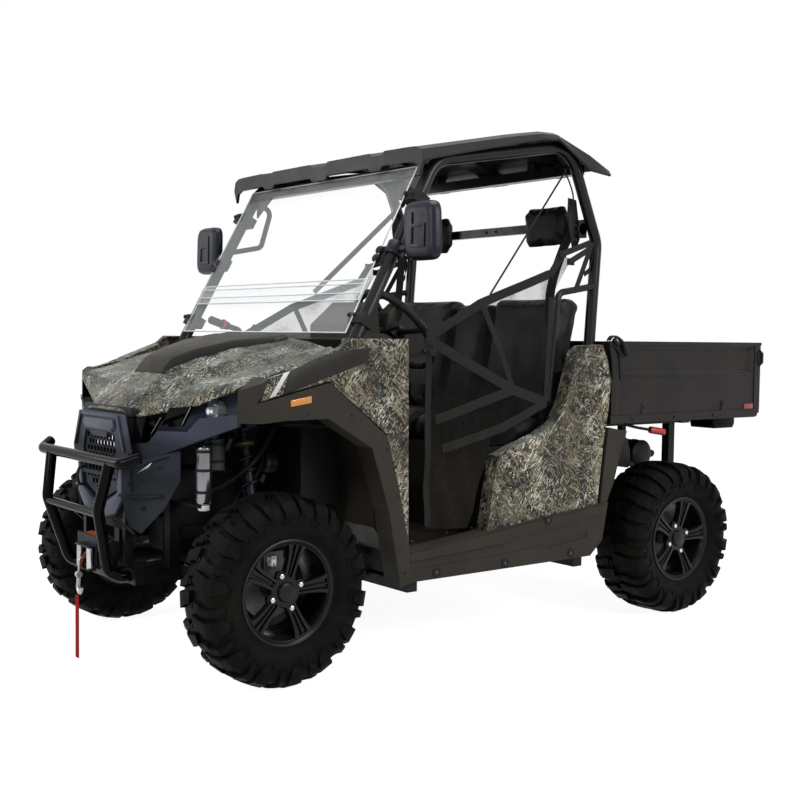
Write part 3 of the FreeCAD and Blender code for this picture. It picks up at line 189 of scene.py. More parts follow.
def hang_softbox(name, place, aim, width, height, power):
    """Rectangular lamp at a place, turned to face its aim; sizes in metres, power in watts."""
    light = bpy.data.lights.new(name, "AREA")
    light.shape = "RECTANGLE"
    light.size = width
    light.size_y = height
    light.energy = power
    lamp = bpy.data.objects.new(name, light)
    scene.collection.objects.link(lamp)
    lamp.location = place
    lamp.rotation_euler = (Vector(aim) - Vector(place)).to_track_quat("-Z", "Y").to_euler()


def light_studio():
    """Bright sheet overhead, a strong side and nose light, weaker ones behind and on the far side."""
    scene.view_settings.view_transform = "Standard"
    light_world()
    lay_floor()
    hang_softbox("TopBox", (0.8, -0.4, 5.0), (0, 0, 0.6), 3.4, 3.4, 210)
    hang_softbox("SideBox", (5.6, 1.2, 3.2), (0, 0.2, 0.8), 2.6, 1.9, 185)
    hang_softbox("NoseBox", (0.6, -6.0, 3.0), (0, -0.6, 0.7), 2.6, 1.6, 140)
    hang_softbox("RearBox", (-1.8, 5.8, 3.4), (0, 0.6, 0.9), 3.0, 1.6, 85)
    hang_softbox("FarBox", (-4.8, -4.4, 2.4), (0, -0.2, 0.8), 2.0, 1.6, 45)


# Finishes

class Finish:
    """One Principled material; its patterns are worked out from object coordinates."""

    def __init__(self, name, **sockets):
        self.material = bpy.data.materials.new(name)
        self.material.use_nodes = True
        self.tree = self.material.node_tree
        self.shader = self.tree.nodes["Principled BSDF"]
        for socket, value in sockets.items():
            self.shader.inputs[socket.replace("_", " ")].default_value = value
        self.place = self.add("ShaderNodeTexCoord").outputs["Object"]

    def add(self, kind, inputs=None, **settings):
        """New node with its settings; an input is a value or another node's socket."""
        node = self.tree.nodes.new(kind)
        for key, value in settings.items():
            setattr(node, key, value)
        for key, value in (inputs or {}).items():
            if isinstance(value, bpy.types.NodeSocket):
                self.tree.links.new(value, node.inputs[key])
            else:
                node.inputs[key].default_value = value
        return node

    def moved(self, shift):
        """Coordinates shifted to another stretch of the same pattern."""
        return self.add("ShaderNodeMapping", {"Vector": self.place, "Location": shift}).outputs[0]

    def grain(self, scale, detail=3.0, place=None, rough=0.5):
        """Cloudy noise, the finer the larger its scale."""
        return self.add("ShaderNodeTexNoise", {"Vector": place or self.place, "Scale": scale,
                                               "Detail": detail, "Roughness": rough}).outputs["Fac"]

    def cells(self, scale, feature="F1", randomness=1.0):
        """Distance to the nearest of scattered points."""
        return self.add("ShaderNodeTexVoronoi", {"Vector": self.place, "Scale": scale,
                                                 "Randomness": randomness},
                        feature=feature).outputs["Distance"]

    def between(self, source, low, high, out_low=0.0, out_high=1.0):
        """A pattern's values from low to high, mapped onto another range and held at its ends."""
        return self.add("ShaderNodeMapRange", {"Value": source, "From Min": low, "From Max": high,
                                               "To Min": out_low, "To Max": out_high}).outputs["Result"]

    def sums(self, operation, first, second):
        """Two values joined by one arithmetic operation."""
        return self.add("ShaderNodeMath", {0: first, 1: second}, operation=operation).outputs[0]

    def blend(self, factor, first, second):
        """Mix of two colours, each another node's socket or three plain values."""
        ends = {key: colour if isinstance(colour, bpy.types.NodeSocket) else (*colour, 1)
                for key, colour in ((6, first), (7, second))}
        return self.add("ShaderNodeMix", {0: factor, **ends}, data_type="RGBA").outputs[2]

    def colour(self, source):
        self.tree.links.new(source, self.shader.inputs["Base Color"])

    def rough(self, source, low, high):
        self.tree.links.new(self.between(source, 0.3, 0.7, low, high), self.shader.inputs["Roughness"])

    def bump(self, height, strength, distance):
        node = self.add("ShaderNodeBump", {"Height": height, "Strength": strength, "Distance": distance})
        self.tree.links.new(node.outputs[0], self.shader.inputs["Normal"])


def moulded(name, dark, light, grain_scale, grain_depth, rough=(0.45, 0.6), shine=0.16):
    """Textured plastic, rubber or powder coat: mottled colour with a fine even grain."""
    finish = Finish(name, Specular_IOR_Level=shine)
    mottle = finish.grain(5.0, 5.0)
    finish.colour(finish.blend(finish.between(mottle, 0.35, 0.65), dark, light))
    finish.rough(finish.grain(18.0, 4.0), *rough)
    finish.bump(finish.cells(grain_scale, "SMOOTH_F1"), 0.35, grain_depth)
    return finish


def sprayed(name, dark, light, rough=(0.25, 0.35), peel=0.0006, shine=0.5, **sockets):
    """Painted or cast metal with a faint orange peel."""
    finish = Finish(name, Specular_IOR_Level=shine, **sockets)
    finish.colour(finish.blend(finish.between(finish.grain(3.5, 4.0), 0.35, 0.65), dark, light))
    finish.rough(finish.grain(26.0, 5.0), *rough)
    finish.bump(finish.grain(140.0, 2.0), 0.25, peel)
    return finish


def camouflage(name):
    """Woodland litter: dark shade under many thin strokes of bark, dry grass and twigs, then painted light by
    the way each face looks.
    """
    finish = Finish(name, Roughness=0.45, Specular_IOR_Level=0.2)
    wander = finish.add("ShaderNodeTexNoise", {"Vector": finish.place, "Scale": 9.0, "Detail": 3.0})
    bent = finish.add("ShaderNodeVectorMath", {0: wander.outputs["Color"], "Scale": 0.05}, operation="SCALE")
    place = finish.add("ShaderNodeVectorMath", {0: finish.place, 1: bent.outputs[0]},
                       operation="ADD").outputs[0]
    shade = finish.between(finish.grain(7.0, 4.0, place=finish.moved((2, 5, 1))), 0.40, 0.62)
    tone = finish.blend(shade, (0.0085, 0.0080, 0.0070), (0.100, 0.094, 0.066))
    rust = finish.grain(6.0, 3.0, place=finish.moved((4, 1, 2)))
    tone = finish.blend(finish.between(rust, 0.60, 0.68, 0, 0.75), tone, (0.17, 0.075, 0.030))
    moss = finish.grain(5.0, 3.0, place=finish.moved((9, 3, 6)))
    tone = finish.blend(finish.between(moss, 0.58, 0.68, 0, 0.7), tone, (0.050, 0.066, 0.026))
    # Each stroke: its size, turn and colour, the level above which it shows, its shift in the pattern
    strokes = (
        ((0.070, 0.0065, 0.0065), (0.3, 0.6, 1.9), (0.105, 0.100, 0.078), 0.53, 0.0),
        ((0.0075, 0.085, 0.0075), (0.5, 0.2, 0.3), (0.0080, 0.0075, 0.0070), 0.53, 1.3),
        ((0.0060, 0.060, 0.0060), (-0.6, 0.3, -0.3), (0.25, 0.235, 0.175), 0.565, 2.1),
        ((0.0065, 0.0065, 0.070), (0.5, -0.3, 0.4), (0.20, 0.165, 0.095), 0.575, 3.7),
        ((0.0050, 0.050, 0.0050), (0.9, 0.1, 0.2), (0.56, 0.54, 0.45), 0.62, 5.2),
        ((0.0060, 0.0060, 0.060), (-0.4, 0.5, 0.0), (0.0085, 0.0080, 0.0075), 0.555, 6.4),
        ((0.0085, 0.120, 0.0085), (-0.2, 0.0, -0.5), (0.42, 0.405, 0.35), 0.672, 8.5),
        ((0.0085, 0.0085, 0.130), (0.7, 0.2, 0.9), (0.30, 0.24, 0.16), 0.675, 9.9),
    )
    for size, turn, colour, level, shift in strokes:
        stretched = finish.add("ShaderNodeMapping", {"Vector": place, "Scale": size, "Rotation": turn,
                                                     "Location": (shift, shift, 0)}, vector_type="TEXTURE")
        stroke = finish.grain(1.0, 2.0, place=stretched.outputs[0], rough=0.55)
        room = finish.between(finish.grain(11.0, 3.0, place=finish.moved((shift, 2, shift))), 0.38, 0.62,
                              0.10, -0.07)
        edge = finish.between(finish.sums("SUBTRACT", stroke, room), level - 0.015, level + 0.02)
        tone = finish.blend(edge, tone, colour)
    patches = finish.between(finish.grain(3.2, 2.0, place=finish.moved((3, 8, 5))), 0.40, 0.60, 0.62, 1.25)
    # Painted light and shade by facing: sloping faces darkened to two thirds, flat tops brought back to full,
    # sides left as they are
    upward = finish.add("ShaderNodeSeparateXYZ", {
        "Vector": finish.add("ShaderNodeNewGeometry").outputs["Normal"]}).outputs["Z"]
    painted_slope_light = finish.sums("MULTIPLY", finish.between(upward, 0.15, 0.45, 1.0, 0.66),
                        finish.between(upward, 0.78, 0.96, 1.0, 1.6))
    patches_and_painted_light = finish.sums("MULTIPLY", patches, painted_slope_light)
    # Painted sky reflection: faces that look upward are tinted cool
    cool = finish.blend(finish.between(upward, 0.20, 0.75), (1.0, 1.0, 1.0), (0.80, 0.90, 1.0))
    tone = finish.add("ShaderNodeVectorMath", {0: tone, 1: cool}, operation="MULTIPLY").outputs[0]
    finish.colour(finish.add("ShaderNodeVectorMath", {0: tone, "Scale": patches_and_painted_light},
                             operation="SCALE").outputs[0])
    return finish


def nose_plastic(name):
    """Blue-grey moulding, paler on the shelf and the grille head than on the cheeks below."""
    finish = Finish(name, Specular_IOR_Level=0.16)
    mottle = finish.between(finish.grain(5.0, 5.0), 0.35, 0.65)
    height = finish.add("ShaderNodeSeparateXYZ", {"Vector": finish.place}).outputs["Z"]
    pale = finish.blend(mottle, (0.030, 0.037, 0.056), (0.047, 0.057, 0.083))
    deep = finish.blend(mottle, (0.0105, 0.0125, 0.0180), (0.0185, 0.0220, 0.0305))
    finish.colour(finish.blend(finish.between(height, 0.775, 0.815), deep, pale))
    finish.rough(finish.grain(18.0, 4.0), 0.42, 0.56)
    finish.bump(finish.cells(520.0, "SMOOTH_F1"), 0.35, 0.0005)
    return finish


def tyre_rubber():
    """Near black rubber with a trace of dust."""
    finish = Finish("TyreRubber", Specular_IOR_Level=0.05)
    dust = finish.grain(6.0, 6.0)
    finish.colour(finish.blend(finish.between(dust, 0.38, 0.68), (0.0022, 0.0021, 0.0019),
                               (0.0062, 0.0056, 0.0048)))
    finish.rough(finish.grain(30.0, 4.0), 0.50, 0.70)
    finish.bump(finish.grain(220.0, 3.0), 0.4, 0.0008)
    return finish


def clear_plastic():
    """Clear sheet with a slight uneven haze."""
    finish = Finish("ClearSheet", Roughness=0.03, IOR=1.45, Alpha=0.10)
    haze = finish.grain(2.2, 3.0)
    finish.colour(finish.blend(finish.between(haze, 0.3, 0.7), (0.80, 0.84, 0.86), (0.92, 0.94, 0.95)))
    finish.rough(finish.grain(8.0, 3.0), 0.02, 0.06)
    return finish


def lamp_lens():
    """Smooth clear lens, faintly blue."""
    finish = Finish("LampLens", Roughness=0.05, IOR=1.5, Alpha=0.25, Coat_Weight=0.6)
    finish.colour(finish.blend(finish.between(finish.grain(12.0), 0.3, 0.7), (0.55, 0.6, 0.65),
                               (0.8, 0.84, 0.88)))
    return finish


def woven(name, dark, light, threads, depth):
    """Plain weave on object coordinates: crossing threads with a lint-like mottle."""
    finish = Finish(name, Roughness=0.9, Sheen_Weight=0.08, Specular_IOR_Level=0.1)
    wave = {"Vector": finish.place, "Scale": threads, "Distortion": 0.4}
    warp = finish.add("ShaderNodeTexWave", wave, bands_direction="Y").outputs["Fac"]
    weft = finish.add("ShaderNodeTexWave", wave, bands_direction="Z").outputs["Fac"]
    weave = finish.sums("MULTIPLY", warp, weft)
    lint = finish.grain(40.0, 4.0)
    mixed = finish.sums("MULTIPLY", weave, finish.between(lint, 0.2, 0.8, 0.6, 1.0))
    finish.colour(finish.blend(mixed, dark, light))
    finish.bump(weave, 0.5, depth)
    return finish


def net_weave(name, dark, light):
    """Open knit: round holes between the threads, closed again where the cloth is doubled at the foot."""
    finish = Finish(name, Roughness=0.85, Specular_IOR_Level=0.06)
    lint = finish.grain(30.0, 4.0)
    height = finish.add("ShaderNodeSeparateXYZ", {"Vector": finish.place}).outputs["Z"]
    cloth = finish.blend(finish.between(lint, 0.3, 0.7), dark, light)
    finish.colour(finish.blend(finish.between(height, 0.62, 0.86), (0.0150, 0.0128, 0.0112), cloth))
    holes = finish.cells(330.0, randomness=0.25)
    open_top = finish.between(height, 0.92, 1.12, 0.30, 0.48)
    solid = finish.sums("GREATER_THAN", holes, open_top)
    thread = finish.between(height, 0.92, 1.12, 1.0, 0.62)
    thick = finish.between(solid, 0.0, 1.0, 0.24, thread)
    finish.tree.links.new(thick, finish.shader.inputs["Alpha"])
    finish.bump(holes, 0.4, 0.0006)
    return finish


def make_finishes():
    """Every finish of the machine by the record's slot name, and a few of the scene's own pieces."""
    made = {
        "tyre": tyre_rubber(),
        "wheel_black": sprayed("WheelBlack", (0.0030, 0.0030, 0.0034), (0.0055, 0.0055, 0.0062),
                               (0.24, 0.34), shine=0.18),
        "frame_black": sprayed("FrameBlack", (0.0040, 0.0046, 0.0056), (0.0075, 0.0086, 0.0105),
                               (0.36, 0.5), 0.0008, shine=0.14),
        "cage_black": sprayed("CageBlack", (0.0035, 0.0035, 0.0040), (0.0060, 0.0060, 0.0068), (0.26, 0.36),
                              shine=0.20),
        "bumper_black": sprayed("BumperBlack", (0.0016, 0.0016, 0.0019), (0.0028, 0.0028, 0.0033),
                                (0.06, 0.10), 0.0002, shine=0.06),
        "bed_steel": moulded("BedSteel", (0.0100, 0.0086, 0.0076), (0.0165, 0.0144, 0.0130), 420.0, 0.0008,
                             (0.36, 0.5)),
        "camo": camouflage("WoodlandFilm"),
        "trim_plastic": moulded("TrimPlastic", (0.0175, 0.0150, 0.0112), (0.0270, 0.0232, 0.0175), 520.0,
                                0.0007, (0.5, 0.62)),
        "bezel_plastic": nose_plastic("BezelPlastic"),
        "roof_plastic": moulded("RoofPlastic", (0.0125, 0.0112, 0.0098), (0.0230, 0.0206, 0.0180), 380.0,
                                0.0009, (0.30, 0.42)),
        "lens": lamp_lens(),
        "lamp_red": sprayed("LampRed", (0.20, 0.006, 0.006), (0.32, 0.012, 0.010), (0.08, 0.14), 0.0003,
                            Coat_Weight=0.5),
        "clear_sheet": clear_plastic(),
        "seat_vinyl": moulded("SeatVinyl", (0.0090, 0.0086, 0.0084), (0.0155, 0.0148, 0.0142), 300.0,
                              0.0010, (0.36, 0.5)),
        "net_mesh": net_weave("NetMesh", (0.0032, 0.0028, 0.0025), (0.0080, 0.0070, 0.0062)),
        "red_webbing": woven("RedWebbing", (0.30, 0.004, 0.006), (0.66, 0.014, 0.016), 330.0, 0.0006),
        "rubber": moulded("BlackRubber", (0.006, 0.006, 0.006), (0.011, 0.011, 0.011), 300.0, 0.0008,
                          (0.5, 0.66)),
        "cast_metal": sprayed("CastMetal", (0.06, 0.06, 0.062), (0.13, 0.13, 0.13), (0.4, 0.55), 0.0012,
                              Metallic=0.8),
        "bright_metal": sprayed("BrightMetal", (0.42, 0.42, 0.43), (0.60, 0.60, 0.62), (0.2, 0.32), 0.0002,
                                Metallic=0.9),
        "bottle_plastic": moulded("BottlePlastic", (0.035, 0.037, 0.042), (0.06, 0.064, 0.07), 300.0,
                                  0.0004, (0.22, 0.34)),
        "hook_steel": sprayed("HookSteel", (0.30, 0.31, 0.33), (0.44, 0.45, 0.47), (0.3, 0.42),
                              Metallic=0.8),
        "webbing": woven("BlackWebbing", (0.012, 0.0115, 0.010), (0.036, 0.034, 0.030), 330.0, 0.0006),
        "rope": woven("OrangeRope", (0.30, 0.055, 0.012), (0.62, 0.15, 0.03), 520.0, 0.0008),
        "strip_grey": sprayed("StripGrey", (0.24, 0.245, 0.25), (0.32, 0.325, 0.33), (0.25, 0.35), 0.0002),
        "dull_alloy": sprayed("DullAlloy", (0.030, 0.029, 0.026), (0.055, 0.052, 0.047), (0.4, 0.55),
                              0.0008),
        "ochre": sprayed("OchreBand", (0.13, 0.105, 0.010), (0.20, 0.165, 0.018), (0.3, 0.4), 0.0003),
        "white_film": sprayed("WhiteFilm", (0.62, 0.62, 0.61), (0.72, 0.72, 0.71), (0.25, 0.35), 0.0002),
        "amber": sprayed("AmberLens", (0.62, 0.20, 0.012), (0.80, 0.30, 0.02), (0.10, 0.18), 0.0003,
                         Coat_Weight=0.5),
        "can_silver": sprayed("CanSilver", (0.17, 0.175, 0.185), (0.25, 0.255, 0.27), (0.16, 0.22), 0.0001,
                              Metallic=0.95),
        "mirror_glass": sprayed("MirrorGlass", (0.82, 0.84, 0.86), (0.86, 0.88, 0.90), (0.02, 0.04),
                                0.00005, Metallic=1.0),
        "crystal": sprayed("Crystal", (0.70, 0.74, 0.80), (0.92, 0.95, 1.0), (0.04, 0.1), 0.0002,
                           Metallic=0.6),
        "nose_grey": moulded("NoseGrey", (0.050, 0.060, 0.082), (0.078, 0.094, 0.126), 520.0, 0.0005,
                             (0.32, 0.44)),
        "heat_black": sprayed("HeatBlack", (0.006, 0.006, 0.006), (0.013, 0.0125, 0.012), (0.45, 0.6),
                              0.0006, 0.14),
        "navy_plastic": moulded("NavyPlastic", (0.0052, 0.0066, 0.0115), (0.0095, 0.0118, 0.0190), 520.0,
                                0.0005, (0.30, 0.42), 0.2),
        "red_plastic": sprayed("RedPlastic", (0.34, 0.012, 0.010), (0.50, 0.022, 0.016), (0.25, 0.35),
                               0.0002),
        # Painted glint: the sheets' edges coloured near-white and partly clear
        "painted_edge_glint": sprayed("SheetEdge", (0.62, 0.66, 0.68), (0.80, 0.83, 0.85), (0.15, 0.25), 0.0002,
                              Alpha=0.75),
    }
    return {slot: finish.material for slot, finish in made.items()}


def dress_nodes(finishes):
    """Give every CAD node the finish of its slot."""
    for part in frame["record"]["subparts"]:
        for held in nodes[part["node"]].material_slots:
            held.material = finishes[part["material_slot"]]


aim_camera()
light_studio()
finishes = make_finishes()
dress_nodes(finishes)


# Modelling helpers

def turned(place, axis):
    """Matrix that puts the local origin at a place and turns the local Z along an axis."""
    return Matrix.Translation(Vector(place)) @ Vector(axis).to_track_quat("Z", "Y").to_matrix().to_4x4()


EDGE_ANGLE = math.radians(38)


class Kit:
    """Small pieces of one finish on one body, gathered into one mesh; one that only lends it has no slot."""

    def __init__(self, name, slot_name=None, body="chassis"):
        self.name, self.slot_name, self.body = name, slot_name, body
        self.built = bmesh.new()

    def skin(self, rings, closed=False):
        """Shell over equal rings of points."""
        join_rings(self.built, rings, closed)

    def tube(self, path, radius, sides=12, closed=False):
        """Round bar along a path, its ring carried on without twisting."""
        points = [Vector(p) for p in path]
        count = len(points)
        side = None
        rings = []
        for k, point in enumerate(points):
            before = points[k - 1] if (k or closed) else point
            after = points[(k + 1) % count] if (k < count - 1 or closed) else point
            along = (after - before).normalized()
            if side is None:
                side = along.orthogonal().normalized()
            side = (side - along * side.dot(along)).normalized()
            up = along.cross(side)
            size = radius[k] if isinstance(radius, (list, tuple)) else radius
            rings.append([point + (side * cosine + up * sine) * size for cosine, sine in once_round(sides)])
        self.skin(rings, closed)

    def ribbon(self, path, across, width, thick):
        """Flat strap along a path; across is its width direction, or a list with one for each point."""
        points = [Vector(p) for p in path]
        rings = []
        for k, point in enumerate(points):
            along = (points[min(k + 1, len(points) - 1)] - points[max(k - 1, 0)]).normalized()
            wide = Vector(across[k] if isinstance(across, list) else across)
            wide = (wide - along * wide.dot(along)).normalized()
            face = along.cross(wide)
            rings.append([point + wide * (a * width / 2) + face * (b * thick / 2)
                          for a, b in ((-1, -1), (1, -1), (1, 1), (-1, 1))])
        self.skin(rings)

    def plate(self, corners, push):
        """Flat closed outline in space, thickened by one push."""
        push = Vector(push)
        points = [Vector(p) for p in corners]
        self.skin([points, [p + push for p in points]])

    def side_plate(self, side, x, outline, thick):
        """Upright lengthwise plate of one side, its outline as (behind the axle, up), thickened outwards."""
        self.plate([mm(side * x, distance, z) for distance, z in outline], (side * thick, 0, 0))

    def block(self, low, high):
        """Square block between two corners."""
        x0, y0, z0 = low
        x1, y1, z1 = high
        self.plate([(x0, y0, z0), (x1, y0, z0), (x1, y1, z0), (x0, y1, z0)], (0, 0, z1 - z0))

    def lathe(self, profile, place, axis=(0, 0, 1), sides=24, closed=False):
        """Turned piece from (radius, height) pairs about an axis through a place."""
        where = turned(place, axis)
        rings = [[where @ Vector((radius * cosine, radius * sine, height)) for cosine,
                  sine in once_round(sides)] for radius, height in profile]
        self.skin(rings, closed)

    def band(self, inner, outer, width, place, axis, sides):
        """Closed hoop with slightly dressed edges, such as a clamp on a pipe."""
        self.lathe([(inner, 0), (outer, 0.001), (outer, width - 0.001), (inner, width)], place, axis, sides,
                   closed=True)

    def hex_bolt(self, place, axis, size=0.008):
        """Flanged hexagon head with a slightly domed top."""
        self.lathe([(size * 1.35, 0), (size * 1.35, size * 0.22), (size * 1.1, size * 0.32)], place, axis, 18)
        self.lathe([(size, size * 0.2), (size, size * 0.85), (size * 0.82, size * 1.0)], place, axis, 6)

    def done(self, bevel=0.0, smooth=35.0, finish=None, replaced=()):
        """Round the edges, write the mesh and hand the piece to its body."""
        bmesh.ops.recalc_face_normals(self.built, faces=self.built.faces[:])
        if bevel:
            edges = [e for e in self.built.edges
                     if len(e.link_faces) == 2 and e.calc_face_angle() > EDGE_ANGLE]
            bmesh.ops.bevel(self.built, geom=edges, offset=bevel, segments=2, affect="EDGES",
                            clamp_overlap=True, profile=0.6)
        mesh = bpy.data.meshes.new(self.name)
        self.built.to_mesh(mesh)
        self.built.free()
        return seat_piece(self.name, mesh, self.slot_name, self.body, smooth, finish, replaced)


def seat_piece(name, mesh, slot_name, body, smooth=35.0, finish=None, replaced=()):
    """Object from a finished mesh, shaded by angle, riding on its body, in its slot's or its own finish."""
    if len(mesh.materials) == 0:
        mesh.materials.append(finishes[finish or slot_name])
    mesh.shade_smooth()
    mesh.set_sharp_from_angle(angle=math.radians(smooth))
    piece = bpy.data.objects.new(name, mesh)
    scene.collection.objects.link(piece)
    if replaced:
        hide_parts(*replaced)
    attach(piece, body)
    return piece


def bare(mesh):
    """Stand-in object that only lends its mesh to an instancer."""
    lent = bpy.data.objects.new(mesh.name, mesh)
    scene.collection.objects.link(lent)
    return lent


def arc_between(points, steps=6):
    """Catmull-Rom curve through the points."""
    points = [Vector(p) for p in points]
    padded_points = [points[0] * 2 - points[1]] + points + [points[-1] * 2 - points[-2]]
    path = []
    for a, b, c, d in zip(padded_points, padded_points[1:], padded_points[2:], padded_points[3:]):
        for k in range(steps):
            t = k / steps
            path.append(0.5 * (2 * b + (c - a) * t + (2 * a - 5 * b + 4 * c - d) * t ** 2
                               + (3 * b - a - 3 * c + d) * t ** 3))
    path.append(points[-1])
    return path


# Repeats about an axle

WOBBLE_SEED = 7


def ring_tree():
    """Node tree: copies of a template turned about the X axis, joined to the base mesh."""
    tree = bpy.data.node_groups.new("AxleRing", "GeometryNodeTree")
    face = tree.interface
    for name, kind in (("Base", "Geometry"), ("Template", "Object"), ("Count", "Int"), ("Phase", "Float"),
                       ("Wobble", "Float"), ("Finish", "Material")):
        face.new_socket(name, in_out="INPUT", socket_type="NodeSocket" + kind)
    face.new_socket("Geometry", in_out="OUTPUT", socket_type="NodeSocketGeometry")
    entry = tree.nodes.new("NodeGroupInput")
    leave = tree.nodes.new("NodeGroupOutput")
    line = tree.nodes.new("GeometryNodeMeshLine")
    line.inputs["Offset"].default_value = (0, 0, 0)
    index = tree.nodes.new("GeometryNodeInputIndex")
    step = tree.nodes.new("ShaderNodeMath")
    step.operation = "DIVIDE"
    step.inputs[0].default_value = 2 * math.pi
    angle = tree.nodes.new("ShaderNodeMath")
    angle.operation = "MULTIPLY_ADD"
    drift = tree.nodes.new("FunctionNodeRandomValue")
    drift.data_type = "FLOAT"
    drift.inputs["Seed"].default_value = WOBBLE_SEED
    low = tree.nodes.new("ShaderNodeMath")
    low.operation = "MULTIPLY"
    low.inputs[1].default_value = -1.0
    total = tree.nodes.new("ShaderNodeMath")
    total.operation = "ADD"
    turn = tree.nodes.new("ShaderNodeCombineXYZ")
    template = tree.nodes.new("GeometryNodeObjectInfo")
    template.transform_space = "ORIGINAL"
    copies = tree.nodes.new("GeometryNodeInstanceOnPoints")
    real = tree.nodes.new("GeometryNodeRealizeInstances")
    joined = tree.nodes.new("GeometryNodeJoinGeometry")
    paint = tree.nodes.new("GeometryNodeSetMaterial")
    link = tree.links.new
    link(entry.outputs["Count"], line.inputs["Count"])
    link(entry.outputs["Count"], step.inputs[1])
    link(index.outputs[0], angle.inputs[0])
    link(step.outputs[0], angle.inputs[1])
    link(entry.outputs["Phase"], angle.inputs[2])
    link(entry.outputs["Wobble"], low.inputs[0])
    link(low.outputs[0], drift.inputs[2])
    link(entry.outputs["Wobble"], drift.inputs[3])
    link(angle.outputs[0], total.inputs[0])
    link(drift.outputs[1], total.inputs[1])
    link(total.outputs[0], turn.inputs["X"])
    link(entry.outputs["Template"], template.inputs["Object"])
    link(line.outputs["Mesh"], copies.inputs["Points"])
    link(template.outputs["Geometry"], copies.inputs["Instance"])
    link(turn.outputs[0], copies.inputs["Rotation"])
    link(copies.outputs[0], real.inputs[0])
    link(entry.outputs["Base"], joined.inputs[0])
    link(real.outputs[0], joined.inputs[0])
    link(joined.outputs[0], paint.inputs["Geometry"])
    link(entry.outputs["Finish"], paint.inputs["Material"])
    link(paint.outputs[0], leave.inputs[0])
    return tree


def ring_of(base, template, count, phase, finish, wobble=0.0):
    """Run the ring tree on a base mesh and give back the plain result."""
    holder, lent = bare(base), bare(template)
    maker = holder.modifiers.new("Ring", "NODES")
    maker.node_group = AXLE_RING
    values = {"Template": lent, "Count": count, "Phase": phase, "Wobble": wobble, "Finish": finish}
    for socket in AXLE_RING.interface.items_tree:
        if socket.in_out == "INPUT" and socket.name in values:
            maker[socket.identifier] = values[socket.name]
    bpy.context.view_layer.update()
    made = holder.evaluated_get(bpy.context.evaluated_depsgraph_get())
    mesh = bpy.data.meshes.new_from_object(made)
    bpy.data.objects.remove(holder)
    bpy.data.objects.remove(lent)
    return mesh


# Tyres

TREAD_RADIUS = 0.2985
LUG_PITCHES = 14
LUG_WOBBLE = 0.006
SIDEWAYS_RADIUS = 0.3
CARCASS_SIDES = 112


def tyre_section(half):
    """Outer half of the carcass from the crown to the bead, as (x, radius)."""
    return [
        (0, TREAD_RADIUS), (half * 0.45, TREAD_RADIUS - 0.001), (half * 0.72, TREAD_RADIUS - 0.005),
        (half * 0.88, TREAD_RADIUS - 0.014), (half * 0.96, TREAD_RADIUS - 0.028),
        (half, TREAD_RADIUS - 0.050), (half * 1.005, 0.232), (half * 0.985, 0.214), (half * 0.94, 0.199),
        (half * 0.885, 0.190), (half - 0.018, 0.1835), (half - 0.019, 0.1800), (half - 0.0225, 0.1775),
        (half - 0.024, 0.158),
    ]


def along_section(section, s):
    """Point and outward normal at a distance along the section from the crown."""
    for (x0, r0), (x1, r1) in zip(section, section[1:]):
        run = math.hypot(x1 - x0, r1 - r0)
        if s <= run:
            share = s / run
            normal = Vector((r0 - r1, x1 - x0)).normalized()
            return x0 + (x1 - x0) * share, r0 + (r1 - r0) * share, normal
        s -= run
    x, r = section[-1]
    return x, r, Vector((1, 0))


def lug_mesh(half, name):
    """One pitch of tread on the +X side: a wide stepped lug, a narrow one and their side ridges."""
    section = tyre_section(half)
    built = bmesh.new()

    def point(s, sideways, height):
        x, r, normal = along_section(section, s)
        radius = r + normal.y * height
        angle = sideways / SIDEWAYS_RADIUS
        return Vector((x + normal.x * height, radius * math.sin(angle), radius * math.cos(angle)))

    def strip(stations):
        """Block of rubber through (distance along the section, left, right, height) stations."""
        rings = []
        for s, left, right, height in stations:
            lean = min(height * 0.22, 0.003)
            rings.append([point(s, left - lean, -0.002), point(s, right + lean, -0.002),
                          point(s, right, height), point(s, left, height)])
        join_rings(built, rings)

    strip([
        (0.004, -0.012, 0.026, 0.0155), (half * 0.32, -0.016, 0.022, 0.0155),
        (half * 0.38, -0.024, 0.018, 0.0158), (half * 0.62, -0.028, 0.014, 0.0160),
        (half * 0.68, -0.036, 0.010, 0.0160), (half * 0.90, -0.040, 0.010, 0.0150),
        (half * 1.02, -0.040, 0.012, 0.0135), (half * 1.14, -0.034, 0.006, 0.0110),
        (half * 1.26, -0.034, 0.004, 0.0075), (half * 1.36, -0.028, -0.004, 0.0030),
    ])
    strip([
        (half * 0.20, 0.044, 0.070, 0.0152), (half * 0.46, 0.038, 0.066, 0.0155),
        (half * 0.52, 0.032, 0.056, 0.0158), (half * 0.84, 0.028, 0.050, 0.0152),
        (half * 1.00, 0.028, 0.050, 0.0140), (half * 1.10, 0.034, 0.054, 0.0105),
        (half * 1.20, 0.036, 0.052, 0.0060), (half * 1.28, 0.040, 0.048, 0.0028),
    ])
    strip([(0.003, 0.050, 0.062, 0.0150), (half * 0.14, 0.048, 0.064, 0.0150)])

    def ridge(trail, width, height):
        """Thin raised line on the sidewall through (distance along the section, sideways) places."""
        for (s0, t0), (s1, t1) in zip(trail, trail[1:]):
            for part in range(3):
                ends = []
                for share in (part / 3, (part + 1) / 3):
                    s, t = s0 + (s1 - s0) * share, t0 + (t1 - t0) * share
                    across = Vector((-(t1 - t0), s1 - s0)).normalized() * width / 2
                    ends.append([point(s + across.x * reach, t + across.y * reach, lift) for reach, lift in (
                        (-1, -0.001), (1, -0.001), (0.4, height), (-0.4, height))])
                join_rings(built, ends)

    ridge([(half * 1.30, -0.050), (half * 1.46, -0.040), (half * 1.46, -0.006), (half * 1.33, 0.004),
           (half * 1.28, 0.024), (half * 1.40, 0.034), (half * 1.40, 0.052), (half * 1.22, 0.064)],
          0.0030, 0.0022)
    ridge([(half * 1.38, -0.054), (half * 1.54, -0.044), (half * 1.54, -0.002)], 0.0022, 0.0016)
    return mesh_of(built, name)


